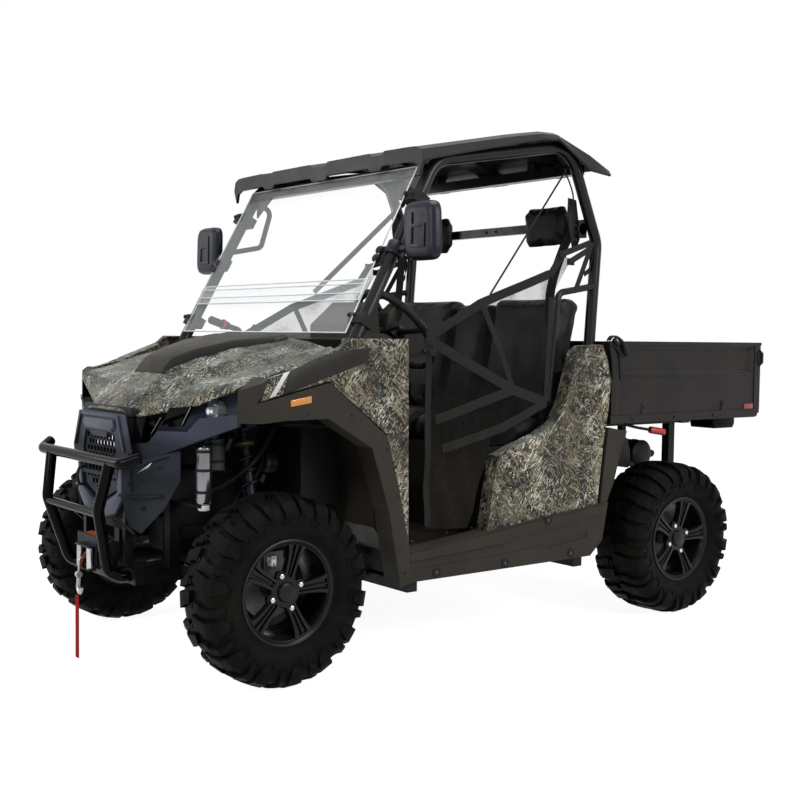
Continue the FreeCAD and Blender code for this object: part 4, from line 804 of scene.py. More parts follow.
def flipped(mesh):
    """A mesh mirrored across its own X, its faces kept outward."""
    other = mesh.copy()
    built = bmesh.new()
    built.from_mesh(other)
    for vert in built.verts:
        vert.co.x = -vert.co.x
    bmesh.ops.reverse_faces(built, faces=built.faces[:])
    built.to_mesh(other)
    built.free()
    return other


def carcass_mesh(half):
    """Smooth carcass turned about the X axis, open inside like a real tyre on its wheel."""
    outer = tyre_section(half)
    profile = [(-x, r) for x, r in reversed(outer[1:])] + outer
    inner = [(x * 0.88, r - 0.012) for x, r in profile if r > 0.2]
    loop = profile + inner[::-1]
    built = bmesh.new()
    rings = [[(x, r * sine, r * cosine) for x, r in loop] for cosine, sine in once_round(CARCASS_SIDES)]
    join_rings(built, rings, closed=True)
    return mesh_of(built, "Carcass")


def set_wheel_mesh(mesh, x, y):
    """Move an axle-centred mesh to its wheel; the far side is its mirror image."""
    placed = mesh.copy() if x > 0 else flipped(mesh)
    placed.transform(Matrix.Translation((x, y, AXLE_HEIGHT)))
    return placed


AXLE_RING = ring_tree()

# Each wheel: its name, the middle of its tyre across and along, half its width
WHEELS = [
    ("front_left", 0.590, FRONT_AXLE, 0.100), ("front_right", -0.590, FRONT_AXLE, 0.100),
    ("rear_left", 0.610, REAR_AXLE, 0.120), ("rear_right", -0.610, REAR_AXLE, 0.120),
]


def make_tyres():
    """Four tyres: the carcass with a ring of lugs on each shoulder, half a pitch apart."""
    made = {}
    for name, x, y, half in WHEELS:
        if half not in made:
            lug = lug_mesh(half, "Lug")
            pitch = 2 * math.pi / LUG_PITCHES
            outer = ring_of(carcass_mesh(half), lug, LUG_PITCHES, 0.0, finishes["tyre"], LUG_WOBBLE)
            made[half] = ring_of(outer, flipped(lug), LUG_PITCHES, pitch / 2, finishes["tyre"], LUG_WOBBLE)
        seat_piece("Tyre_" + name, set_wheel_mesh(made[half], x, y), "tyre", "wheel_" + name, 24,
                   replaced=("tyre_" + name,))


# Wheels

SPOKES = 5
SPOKE_TURN = math.radians(-13)
RIM_INSET = 0.017
NUT_CIRCLE = 0.057


def nut_places(x):
    """Middles of the four lug nuts, this far out along the axle."""
    return [Vector((x, NUT_CIRCLE * math.cos(a), NUT_CIRCLE * math.sin(a)))
            for a in (math.radians(20 + 90 * k) for k in range(4))]


def spoke_mesh(half):
    """One paired spoke pointing up: two ribs, a groove between them and flared ends."""
    face = half - RIM_INSET
    across = [(-1.0, 0.016), (-0.90, 0.001), (-0.50, 0.0), (-0.36, 0.010), (-0.12, 0.011), (-0.06, 0.004),
              (0.06, 0.004), (0.12, 0.011), (0.36, 0.010), (0.50, 0.0), (0.90, 0.001), (1.0, 0.016)]
    along = [(0.036, 0.021, 0.020), (0.060, 0.020, 0.016), (0.085, 0.0215, 0.012), (0.110, 0.0245, 0.009),
             (0.132, 0.029, 0.007), (0.148, 0.035, 0.006), (0.1545, 0.039, 0.006)]
    built = bmesh.new()
    rings = []
    for radius, reach, sunk in along:
        front = [(face - sunk - drop, share * reach, radius) for share, drop in across]
        back = [(face - sunk - 0.030, share * reach * 0.8, radius) for share in (1.0, -1.0)]
        rings.append(front + back)
    join_rings(built, rings)
    return mesh_of(built, "Spoke")


def barrel_mesh(half):
    """Barrel with its lips, hub face, nut seats and the plain domed cap."""
    face = half - RIM_INSET
    kit = Kit("Barrel")
    kit.lathe([
        (0.1480, -face), (0.1690, -face), (0.1725, -face + 0.002), (0.1725, -face + 0.006),
        (0.1660, -face + 0.008), (0.1565, -face + 0.014), (0.1545, -face + 0.03), (0.1500, 0),
        (0.1545, face - 0.030), (0.1565, face - 0.014), (0.1660, face - 0.008), (0.1725, face - 0.005),
        (0.1730, face - 0.001), (0.1700, face), (0.1655, face - 0.0015), (0.1620, face - 0.006),
        (0.1560, face - 0.008), (0.1530, face - 0.016), (0.1490, face - 0.028), (0.1460, 0),
        (0.1480, -face + 0.03),
    ], (0, 0, 0), (1, 0, 0), 96, closed=True)
    kit.lathe([(0.052, face - 0.052), (0.054, face - 0.024), (0.050, face - 0.019), (0.034, face - 0.018),
               (0.033, face - 0.012), (0.030, face - 0.0085), (0.022, face - 0.0060), (0.010, face - 0.0048),
               (0.001, face - 0.0045)], (0, 0, 0), (1, 0, 0), 48)
    for place in nut_places(face - 0.034):
        kit.lathe([(0.017, 0), (0.017, 0.014), (0.0125, 0.0145), (0.012, 0.008), (0.001, 0.008)], place,
                  (1, 0, 0), 20)
    return mesh_of(kit.built, "Barrel")


def nut_mesh(half):
    """Four bright tapered lug nuts."""
    face = half - RIM_INSET
    kit = Kit("Nuts")
    for place in nut_places(face - 0.026):
        kit.lathe([(0.0100, 0), (0.0100, 0.012), (0.0088, 0.0145), (0.0060, 0.0160), (0.001, 0.0163)], place,
                  (1, 0, 0), 6)
    return mesh_of(kit.built, "Nuts")


def make_wheels():
    """Four rims with their spokes, and the lug nuts of each."""
    made = {}
    for name, x, y, half in WHEELS:
        if half not in made:
            rim = ring_of(barrel_mesh(half), spoke_mesh(half), SPOKES, SPOKE_TURN, finishes["wheel_black"])
            made[half] = rim, nut_mesh(half)
        rim, nuts = made[half]
        seat_piece("Rim_" + name, set_wheel_mesh(rim, x, y), "wheel_black", "wheel_" + name, 32,
                   replaced=("rim_" + name,))
        seat_piece("LugNuts_" + name, set_wheel_mesh(nuts, x, y), "bright_metal", "wheel_" + name, 30)


# Soft pads

# In millimetres: how far a pad's start form is drawn in and its ends are rounded off
PAD_SHRINK = 7
PAD_ROUND = 11
PAD_PRESSURE = 4.0
BLOW_FRAMES = 20
HEAD_REST_HEIGHT = 1594


def pad_start(low_x, high_x, profile):
    """Closed starting form of a pad: its side profile, drawn in and rounded at both ends."""
    shrink, round_off = PAD_SHRINK, PAD_ROUND
    middle = Vector((0, sum(d for d, z in profile) / len(profile), sum(z for d, z in profile) / len(profile)))
    points = [Vector((0, d, z)) for d, z in profile]
    size = max((p - middle).length for p in points)
    kit = Kit("Pad")
    rings = []
    span = high_x - low_x
    for t, inset in ((0.0, round_off), (0.03, round_off * 0.45), (0.09, round_off * 0.1), (0.2, 0.0),
                     (0.5, -1.0), (0.8, 0.0), (0.91, round_off * 0.1), (0.97, round_off * 0.45),
                     (1.0, round_off)):
        x = low_x + shrink + (span - 2 * shrink) * t
        share = 1 - (shrink + inset) / size
        rings.append([mm(x, middle.y + (p.y - middle.y) * share, middle.z + (p.z - middle.z) * share)
                      for p in points])
    kit.skin(rings)
    return mesh_of(kit.built, "PadStart")


def blow_up(mesh, voxel, cap):
    """Stuffed pad: the start form remeshed, inflated as cloth, its travel capped."""
    pad = bpy.data.objects.new("Inflating", mesh)
    scene.collection.objects.link(pad)
    remesh = pad.modifiers.new("Voxels", "REMESH")
    remesh.mode = "VOXEL"
    remesh.voxel_size = voxel
    bpy.context.view_layer.update()
    fine = bpy.data.meshes.new_from_object(pad.evaluated_get(bpy.context.evaluated_depsgraph_get()))
    bpy.data.objects.remove(pad)
    start = [vert.co.copy() for vert in fine.vertices]
    pad = bpy.data.objects.new("Inflating", fine.copy())
    scene.collection.objects.link(pad)
    cloth = pad.modifiers.new("Cloth", "CLOTH")
    cloth.settings.quality = 4
    cloth.settings.use_pressure = True
    cloth.settings.uniform_pressure_force = PAD_PRESSURE
    cloth.settings.effector_weights.gravity = 0
    cloth.collision_settings.use_collision = False
    for step in range(1, BLOW_FRAMES + 1):
        scene.frame_set(step)
    blown = bpy.data.meshes.new_from_object(pad.evaluated_get(bpy.context.evaluated_depsgraph_get()))
    bpy.data.objects.remove(pad)
    for vert, before, after in zip(fine.vertices, start, blown.vertices):
        travel = after.co - before
        if travel.length > cap:
            travel = travel.normalized() * cap
        vert.co = before + travel
    scene.frame_set(1)
    built = bmesh.new()
    built.from_mesh(fine)
    for _ in range(3):
        bmesh.ops.smooth_vert(built, verts=built.verts[:], factor=0.5, use_axis_x=True, use_axis_y=True,
                              use_axis_z=True)
    built.to_mesh(fine)
    built.free()
    fine.materials.clear()
    return fine


def sewn_ring(kit, mesh, x, radius):
    """Piping that follows the pad's own surface round one cross section."""
    built = bmesh.new()
    built.from_mesh(mesh)
    tree = BVHTree.FromBMesh(built)
    middle = sum((v.co for v in built.verts), Vector()) / len(built.verts)
    middle.x = x
    path = []
    for cosine, sine in once_round(72):
        outward = Vector((0, cosine, sine))
        hit = tree.ray_cast(middle + outward * 0.9, -outward)[0]
        if hit is not None:
            path.append(hit)
    built.free()
    if len(path) > 8:
        kit.tube(path, radius, 8, closed=True)


def make_seats():
    """Bench cushions and backs in black vinyl, stuffed and piped."""
    cushion = [(915, 760), (918, 795), (935, 822), (1000, 835), (1140, 831), (1265, 822), (1275, 800),
               (1275, 726), (1100, 726), (935, 726)]
    back = [(1281, 726), (1277, 850), (1318, 1060), (1362, 1290), (1372, 1308), (1392, 1318), (1440, 1310),
            (1458, 1296), (1462, 1280), (1415, 1060), (1372, 850), (1330, 726)]
    seams = Kit("SeatPiping", "seat_vinyl")
    first = True
    for low, high, lift in ((-545, -128, 0), (-116, 116, -25), (128, 545, 0)):
        tall = [(d, z if z < 1000 else z + lift) for d, z in back]
        for label, profile in (("Cushion", cushion), ("Back", tall)):
            mesh = blow_up(pad_start(low, high, profile), 0.007, 0.016)
            name = f"{label}_{'left' if low > 0 else 'right' if high < 0 else 'middle'}"
            pad = seat_piece(name, mesh, "seat_vinyl", "chassis", 180,
                             replaced=("seat_cushions", "seat_backs") if first else ())
            first = False
            for x in (low + 26, high - 26):
                sewn_ring(seams, mesh, x / 1000, 0.0021)
    seams.done(smooth=60)


def make_head_rests():
    """Pads on the drilled bar, each with the rim of its dished recess, its backing and two bolts."""
    seams = Kit("HeadRestPiping", "seat_vinyl")
    for number, x in enumerate((-360, 360)):
        outline = [(x - 110, 1535), (x - 95, 1510), (x + 95, 1510), (x + 130, 1550), (x + 130, 1640),
                   (x + 105, 1678), (x - 95, 1678), (x - 120, 1650)]
        kit = Kit("HeadRestStart")
        rings = []
        for distance, share in ((1412, 0.80), (1418, 0.93), (1432, 0.955), (1448, 0.94), (1456, 0.84)):
            rings.append([mm(x + (px - x) * share, distance,
                             HEAD_REST_HEIGHT + (pz - HEAD_REST_HEIGHT) * share) for px, pz in outline])
        kit.skin(rings)
        mesh = blow_up(mesh_of(kit.built, "HeadRestStart"), 0.005, 0.008)
        pad = seat_piece(f"HeadRest_{number}", mesh, "seat_vinyl", "chassis", 180,
                         replaced=("head_rests",) if number == 0 else ())
        rim = [mm(x + dx, 1408.5, HEAD_REST_HEIGHT + dz) for dx, dz in
               ((-62, -34), (62, -34), (74, -20), (74, 22), (60, 38), (-58, 38), (-72, 24), (-72, -20))]
        seams.tube(arc_between(rim + rim[:1], 4)[:-1], 0.0026, 8, closed=True)
        seams.block(mm(x - 34, 1457, 1570), mm(x + 34, 1470, 1622))
        for bolt in (-22, 22):
            seams.hex_bolt(mm(x + bolt, 1486, 1596), (0, 1, 0), 0.007)
    seams.done(bevel=0.0006, smooth=50)


# Nets

# In millimetres: the net's cut edge as (behind the axle, up), its plane, the size of its cells, and how far
# its webbing stands off
NET_EDGE = [(598, 462), (600, 1136), (842, 1262), (1196, 1384), (1262, 1470), (1310, 1440), (1215, 1300),
            (1195, 893), (1030, 835), (925, 811), (800, 445)]
NET_X = 620.5
NET_CELL = 14
NET_STRAP_LIFT = 2.4


def net_bulge(distance, z):
    """How far the net stands out of its plane: shallow folds that deepen towards the loose foot."""
    loose = max(0.0, min(1.0, (900 - z) / 350))
    folds = math.sin(distance * 0.052 + z * 0.018) + 0.6 * math.sin(distance * 0.11 - z * 0.031 + 1.3)
    taut = math.sin(distance * 0.021 + 0.7) * math.sin(z * 0.013)
    return 1.6 * taut + loose * 5.2 * folds


def net_place(distance, z, side, lift=0.0):
    """Place on the net with its folds, or this much further out."""
    return mm(side * (NET_X + net_bulge(distance, z) + lift), distance, z)


def net_mesh(side):
    """The net's cut outline, divided finely enough to fold."""
    built = bmesh.new()
    flat = [built.verts.new(Vector((0, d, z))) for d, z in NET_EDGE]
    built.faces.new(flat)
    for normal, start, stop in (((0, 1, 0), 600, 1310), ((0, 0, 1), 450, 1470)):
        place = start
        while place < stop:
            everything = built.verts[:] + built.edges[:] + built.faces[:]
            at_place = (0, place, 0) if normal[1] else (0, 0, place)
            bmesh.ops.bisect_plane(built, geom=everything, plane_co=at_place, plane_no=normal)
            place += NET_CELL
    bmesh.ops.triangulate(built, faces=built.faces[:])
    for vert in built.verts:
        vert.co = net_place(vert.co.y, vert.co.z, side)
    return mesh_of(built, "Net")


def strap_on_net(kit, side, ends, width):
    """Webbing laid on the net between places given behind the axle and up."""
    path = []
    for (d0, z0), (d1, z1) in zip(ends, ends[1:]):
        steps = max(2, int(math.hypot(d1 - d0, z1 - z0) / 22))
        path += [(d0 + (d1 - d0) * k / steps, z0 + (z1 - z0) * k / steps) for k in range(steps)]
    path.append(ends[-1])
    points = [net_place(d, z, side, NET_STRAP_LIFT) for d, z in path]
    across = []
    for k in range(len(points)):
        along = points[min(k + 1, len(points) - 1)] - points[max(k - 1, 0)]
        across.append(along.cross(Vector((1, 0, 0))).normalized())
    kit.ribbon(points, across, width, 0.0018)


# The long stay of each net: its upper end, its lower end and its width
LONG_STAYS = {
    "left": ((562, 1346, 1806), (620, 895, 1297), 0.008),
    "right": ((570, 1427, 1764), (620, 956, 1333), 0.024),
}


def make_nets():
    """Side nets with their sewn webbing, and the straps that hang them from the cage."""
    for label, side in SIDES:
        webbing = Kit("NetWebbing_" + label, "net_mesh")
        for ends, width in (
            (((600, 1136), (842, 1262), (1196, 1384)), 0.034),
            (((604, 1130), (1018, 946), (1194, 893)), 0.038),
            (((860, 1255), (950, 1090), (1018, 946)), 0.024),
            (((1018, 946), (642, 846)), 0.034),
            (((1192, 897), (966, 806), (676, 741)), 0.032),
            (((606, 470), (606, 1130)), 0.026),
            (((1200, 1380), (1262, 1460)), 0.030),
            (((930, 800), (1190, 890)), 0.026),
            (((1188, 898), (1208, 1296)), 0.024),
        ):
            strap_on_net(webbing, side, ends, width)
        straps = webbing.done(smooth=40, finish="webbing")
        cloth = seat_piece("SideNet_" + label, net_mesh(side), "net_mesh", "chassis", 60,
                           replaced=("side_nets",) if side > 0 else ())
        hung = Kit("NetHangers_" + label, "net_mesh")
        for start, end, width in (
            LONG_STAYS[label],
            ((590, 1455, 1520), (620, 1262, 1462), 0.024),
            ((590, 1462, 1500), (620, 1308, 1436), 0.024),
            ((592, 1462, 1520), (612, 1352, 1330), 0.024),
            ((596, 640, 1180), (620, 604, 1128), 0.026),
            ((598, 470, 1060), (620, 604, 1090), 0.022),
        ):
            a, b = on_side(side, start, end)
            along = b - a
            hung.ribbon([a.lerp(b, k / 6) for k in range(7)], along.cross(Vector((1, 0, 0))), width, 0.0018)
        for d, z in ((1262, 1462), (1308, 1436), (606, 1126), (618, 1086)):
            place = net_place(d, z, side, 4)
            hung.block(place - Vector((0.004, 0.017, 0.013)), place + Vector((0.004, 0.017, 0.013)))
        hung.done(bevel=0.0008, smooth=40, finish="webbing")


# Panels and stripes

def make_hood_panel():
    """Black raised middle of the hood, with its chamfered nose."""
    rows = [(-160, 98, 1007, 110, 1003), (-152, 101, 1022, 112, 1008), (-122, 104, 1055, 114, 1027),
            (-49, 130, 1085, 142, 1056), (70, 180, 1116, 192, 1091), (200, 250, 1134, 264, 1115),
            (243, 262, 1140, 274, 1131)]
    kit = Kit("HoodPanel", "trim_plastic", "hood")
    flanks = Kit("HoodPanelFlanks", "roof_plastic", "hood")
    for side in (1, -1):
        flanks.skin([on_side(side, (foot_x + 1.2, d, foot_z - 3), (foot_x + 1.2, d, foot_z + 3.4),
                             (x + 0.6, d, z + 2.4), (x - 3, d, z - 2), (foot_x - 3, d, foot_z - 3))
                     for d, x, z, foot_x, foot_z in rows])
    flanks.plate([mm(-104, -161.5, 1012), mm(104, -161.5, 1012), mm(110, -161.5, 1000),
                  mm(-110, -161.5, 1000)], (0, 1.5e-3, 0))
    flanks.done(bevel=0.0004, smooth=28, finish="heat_black")
    rings = []
    for d, x, z, foot_x, foot_z in rows:
        crown = z + 4
        rings.append([mm(-foot_x, d, foot_z - 3), mm(-foot_x, d, foot_z + 3), mm(-x, d, crown - 3),
                      mm(-x * 0.93, d, crown), mm(0, d, crown + 3), mm(x * 0.93, d, crown),
                      mm(x, d, crown - 3), mm(foot_x, d, foot_z + 3), mm(foot_x, d, foot_z - 3),
                      mm(x * 0.8, d, z - 8), mm(-x * 0.8, d, z - 8)])
    kit.skin(rings)
    kit.done(bevel=0.0008, smooth=28)


def make_stripes():
    """Black blade on the cowl with its white slash, as thin films, and the amber marker on the arch."""
    black = Kit("CowlBlade", "roof_plastic")
    blade = [(-4, 1026), (40, 1041), (145, 1079), (180, 1092), (317, 1101), (303, 1054), (35, 970),
             (-28, 950)]
    for side in (1, -1):
        black.side_plate(side, 669.5, blade, 0.0022)
    black.done(bevel=0.0005)
    white = Kit("CowlSlash", "bottle_plastic")
    slash = [(-80, 942), (-57, 948), (-3, 1026), (-25, 1020)]
    for side in (1, -1):
        white.side_plate(side, 671.5, slash, 0.0014)
    white.done(bevel=0.0003, finish="white_film")
    amber = Kit("ArchMarker", "lamp_red")
    marker = [(-10, 914), (68, 925), (68, 947), (-10, 934)]
    for side in (1, -1):
        amber.side_plate(side, 686, marker, 0.006)
    amber.done(bevel=0.0018, finish="amber")


# Running gear

# In millimetres: from axle to axle, and from each axle inwards to its shocks
WHEELBASE = 1902
SHOCK_SET = 62


def make_shocks():
    """Coil springs over their dampers, with perches and top mounts."""
    springs = Kit("Springs", "frame_black")
    perches = Kit("SpringPerches", "cast_metal")
    collars = Kit("SpringCollars", "trim_plastic")
    for top, bottom, radius, turns in (
        ((275, SHOCK_SET, 804), (392, SHOCK_SET, 309), 0.029, 9),
        ((300, WHEELBASE - SHOCK_SET, 746), (392, WHEELBASE - SHOCK_SET, 309), 0.030, 8),
    ):
        for side in (1, -1):
            high, low = on_side(side, top, bottom)
            reach = (low - high).length
            axis = (low - high).normalized()
            where = turned(high, axis)
            begin, end = 0.034, reach - 0.070
            steps = turns * 18
            path = []
            for k in range(steps + 1):
                a = 2 * math.pi * k / 18
                path.append(where @ Vector((radius * math.cos(a), radius * math.sin(a),
                                            begin + (end - begin) * k / steps)))
            springs.tube(path, 0.0058, 8)
            springs.lathe([(0.010, 0.0), (0.016, 0.002), (0.016, 0.030), (0.035, 0.032), (0.035, 0.038),
                           (0.021, 0.040), (0.019, reach - 0.19), (0.021, reach - 0.185),
                           (0.021, reach - 0.075), (0.012, reach - 0.07)], high, axis, 20)
            perches.lathe([(0.020, reach - 0.072), (0.034, reach - 0.070), (0.034, reach - 0.062),
                           (0.022, reach - 0.058), (0.019, reach - 0.02), (0.013, reach - 0.016),
                           (0.013, reach - 0.001)], high, axis, 20)
            collars.lathe([(0.0225, 0.041), (0.0345, 0.041), (0.0345, 0.050), (0.0225, 0.052)], high, axis,
                          24)
    springs.done(smooth=50, finish="navy_plastic", replaced=("shock_absorbers",))
    perches.done(smooth=40)
    collars.done(smooth=40, finish="ochre")


def make_brakes():
    """Discs with their hubs inside the rear wheels, and the bright calliper plate behind the front spokes."""
    for label, side in SIDES:
        disc = Kit("RearDisc_" + label, "cast_metal", "wheel_rear_" + label)
        centre = Vector((side * 0.590, REAR_AXLE, AXLE_HEIGHT))
        disc.lathe([(0.030, -0.003), (0.108, -0.003), (0.108, 0.003), (0.030, 0.003)], centre, (side, 0, 0),
                   56)
        disc.lathe([(0.020, -0.05), (0.052, -0.05), (0.052, 0.01), (0.020, 0.01)], centre, (side, 0, 0), 32)
        disc.done(bevel=0.0006, smooth=30)
        bracket = Kit("CalliperPlate_" + label, "bright_metal", "knuckle_" + label)
        bracket.block(*on_side(side, (567, -20, 384), (570, 16, 418)))
        for dy, dz in ((-12, 391), (-12, 411), (8, 391), (8, 411)):
            bracket.lathe([(0.0046, 0), (0.0046, 0.0022), (0.0026, 0.0026)], mm(side * 570, dy, dz),
                          (side, 0, 0), 14)
        bracket.done(bevel=0.0006, smooth=30)


# Front gear

def make_winch_gear():
    """Rope wound on the winch drum, its end down to the hook, and the rollers of the fairlead."""
    rope = Kit("WinchRope", "red_webbing")
    steps = 14 * 16
    path = []
    for k in range(steps + 1):
        a = 2 * math.pi * k / 16
        path.append(mm(-62 + 124 * k / steps, -350 + 36 * math.cos(a), 410 + 36 * math.sin(a)))
    rope.tube(path, 0.0045, 6)
    rope.tube([mm(12, -388, 400), mm(12, -404, 384), mm(12, -424, 340), mm(12, -427, 318)], 0.0045, 8)
    rope.done(smooth=60, finish="rope")
    bright = Kit("FairleadRollers", "bright_metal")
    for x in (-28, 52):
        bright.lathe([(0.004, 0.0), (0.0115, 0.002), (0.0115, 0.078), (0.004, 0.080)],
                     mm(x, -404, 334), (0, 0, 1), 20)
    bright.done(bevel=0.0005, smooth=40)


def mirror_ring(side, distance, half_width, half_height, grow=1.0):
    """Rounded outline of a mirror at one distance, leaning inwards towards its top."""
    ring = []
    for cosine, sine in once_round(40):
        px = math.copysign(abs(cosine) ** 0.42, cosine) * half_width * grow
        pz = math.copysign(abs(sine) ** 0.34, sine) * half_height * grow
        ring.append(mm(side * (728 + px - 0.04 * pz), distance, 1498 + pz))
    return ring


def make_mirrors():
    """Rounded mirror housings with their back ribs, glass, stalks and pillar clamps."""
    shell = Kit("MirrorHousings", "trim_plastic")
    glass = Kit("MirrorGlass", "bright_metal")
    for side in (1, -1):
        shell.skin([mirror_ring(side, distance, 84, 100, grow) for distance, grow in (
            (462, 0.70), (464, 0.86), (470, 0.95), (482, 1.0), (500, 1.0), (503, 0.965))])
        for low, high in (((694, 458, 1440), (770, 464, 1452)), ((694, 458, 1452), (704, 464, 1560)),
                          ((760, 458, 1452), (770, 464, 1520)), ((704, 458, 1508), (760, 464, 1520))):
            shell.block(*on_side(side, low, high))
        glass.plate(mirror_ring(side, 503.2, 76, 92), (0, 0.0015, 0))
        low, high = pillar_point(1418, side, 8), pillar_point(1462, side, 7)
        axis = (high - low).normalized()
        shell.lathe([(0.0228, 0), (0.031, 0.001), (0.0325, 0.004), (0.0325, 0.046), (0.031, 0.049),
                     (0.0228, 0.050)], low, axis, 28, closed=True)
        middle = (low + high) / 2
        shell.tube([middle + Vector((side * 0.026, 0, 0)), mm(side * 655, 474, 1441),
                    mm(side * 690, 482, 1450)], [0.014, 0.012, 0.016], 14)
        shell.hex_bolt(middle + Vector((0, -0.032, 0)), (0, -1, 0.3), 0.006)
    shell.done(bevel=0.0015, smooth=42, finish="navy_plastic", replaced=("mirrors",))
    glass.done(bevel=0.0004, finish="mirror_glass")


# The front pillars, which the windshield follows: how far behind the axle and how high they start,
# and how far they run back and rise
PILLAR_FOOT = 300
PILLAR_FOOT_HEIGHT = 1125
PILLAR_RUN = 355
PILLAR_RISE = 640


def pillar_point(height, side, outward):
    """Centre of the front pillar at a height."""
    share = (height - PILLAR_FOOT_HEIGHT) / PILLAR_RISE
    return mm(side * (585 + 15 * (1 - share) + outward - 7), PILLAR_FOOT + share * PILLAR_RUN, height)


def pane_point(height, forward, x):
    """Point on the windshield's plane at a height, this far ahead of the pillars."""
    share = (height - PILLAR_FOOT_HEIGHT) / PILLAR_RISE
    length = math.hypot(PILLAR_RUN, PILLAR_RISE)
    return mm(x, PILLAR_FOOT + share * PILLAR_RUN - forward * PILLAR_RISE / length,
              height + forward * PILLAR_RUN / length)


def make_windshield_trim():
    """Polished edges of the two sheets and of their seam, painted near-white as their glint, clamp bolts,
    thumb screws and their plates.
    """
    edges = Kit("SheetEdges", "clear_sheet")
    # Near-white tubes round each sheet and along the seam: a painted glint on the edges
    for low, high, forward, half_low, half_high in ((1137, 1322, 30, 575, 568), (1246, 1722, 37, 571, 556)):
        loop = [pane_point(low, forward, -half_low), pane_point(low, forward, half_low),
                pane_point(high, forward, half_high), pane_point(high, forward, -half_high)]
        for a, b in zip(loop, loop[1:] + loop[:1]):
            edges.tube([a, b], 0.0026, 8)
    for z in (1268, 1300):
        edges.tube([pane_point(z, 41.5, -566), pane_point(z, 41.5, 566)], 0.0022, 8)
    edges.done(smooth=50, finish="painted_edge_glint")
    knobs = Kit("SeamKnobs", "rubber")
    toward = (pane_point(1300, 50, 0) - pane_point(1300, 0, 0)).normalized()
    for side in (1, -1):
        for z in (1192, 1620):
            for x in (560, 592):
                knobs.hex_bolt(pane_point(z, 41, side * (x + 8)), toward, 0.007)
        for z in (1392, 1420):
            knobs.lathe([(0.004, -0.030), (0.005, 0.0), (0.012, 0.002), (0.0155, 0.006), (0.0155, 0.014),
                         (0.012, 0.018), (0.003, 0.019)], pane_point(z, 26, side * 560), toward, 20)
        knobs.plate([pane_point(1372, 24, side * 548), pane_point(1372, 24, side * 590),
                     pane_point(1438, 24, side * 590), pane_point(1438, 24, side * 548)], toward * 0.004)
    knobs.done(bevel=0.0006, smooth=40)


def make_lamp_pockets():
    """Dark lens blades with a leaning grey bar on the larger ones, and the faceted bulb in its ring."""
    blades = Kit("LampBlades", "bezel_plastic")
    strips = Kit("LampStrips", "bright_metal")
    bulbs = Kit("LampBulbs", "lens")
    for side in (1, -1):
        for x0, d0, x1, d1, low, high, lean in ((156, -296, 222, -262, 790, 860, 80),
                                                (290, -262, 372, -226, 830, 900, 66),
                                                (178, -312, 226, -300, 772, 858, 26)):
            corners = on_side(side, (x0 + lean, d0, high), (x1 + lean, d1, high + 8), (x1, d1, low + 10),
                              (x0, d0, low))
            blades.plate(corners, (0, 0.010, 0))
            if lean > 30:
                strips.tube([corners[1].lerp(corners[2], 0.06) + Vector((0, -0.002, 0)),
                             corners[1].lerp(corners[2], 0.94) + Vector((0, -0.002, 0))], 0.0015, 8)
        centre = mm(side * 440, -140, 890)
        bulbs.lathe([(0.002, -0.034), (0.012, -0.030), (0.019, -0.020), (0.0225, -0.006), (0.0215, 0.006),
                     (0.012, 0.016)], centre, (0, 1, 0), 9)
        strips.lathe([(0.0345, -0.011), (0.0365, -0.012), (0.0372, -0.010), (0.0372, -0.004),
                      (0.0345, -0.004)], centre, (0, 1, 0), 40, closed=True)
    blades.done(bevel=0.001, smooth=30, finish="bumper_black")
    strips.done(smooth=50, finish="strip_grey")
    bulbs.done(smooth=12, finish="crystal")


def make_nose_backing():
    """Radiator behind the lower mesh and the inner splash sheets between the tower posts."""
    core = Kit("RadiatorCore", "frame_black")
    core.block(mm(-148, -298, 520), mm(148, -262, 742))
    for k in range(34):
        z = 528 + k * 6.2
        core.block(mm(-142, -301, z), mm(142, -297, z + 1.4))
    core.block(mm(-149, -300, 512), mm(149, -258, 521))
    core.block(mm(-186, -318, 862), mm(186, -300, 892))
    core.block(mm(-118, -304, 470), mm(118, -284, 512))
    for side in (1, -1):
        core.block(mm(side * 160 - 2, -186, 395), mm(side * 160 + 2, 100, 838))
        core.block(mm(side * 162 - 2, 100, 395), mm(side * 162 + 2, 390, 800))
        core.tube(arc_between(on_side(side, (120, -258, 700), (110, -180, 690), (120, -60, 560),
                                      (140, 40, 520)), 5), 0.016, 12)
    core.done(bevel=0.0005, smooth=40, finish="rubber")


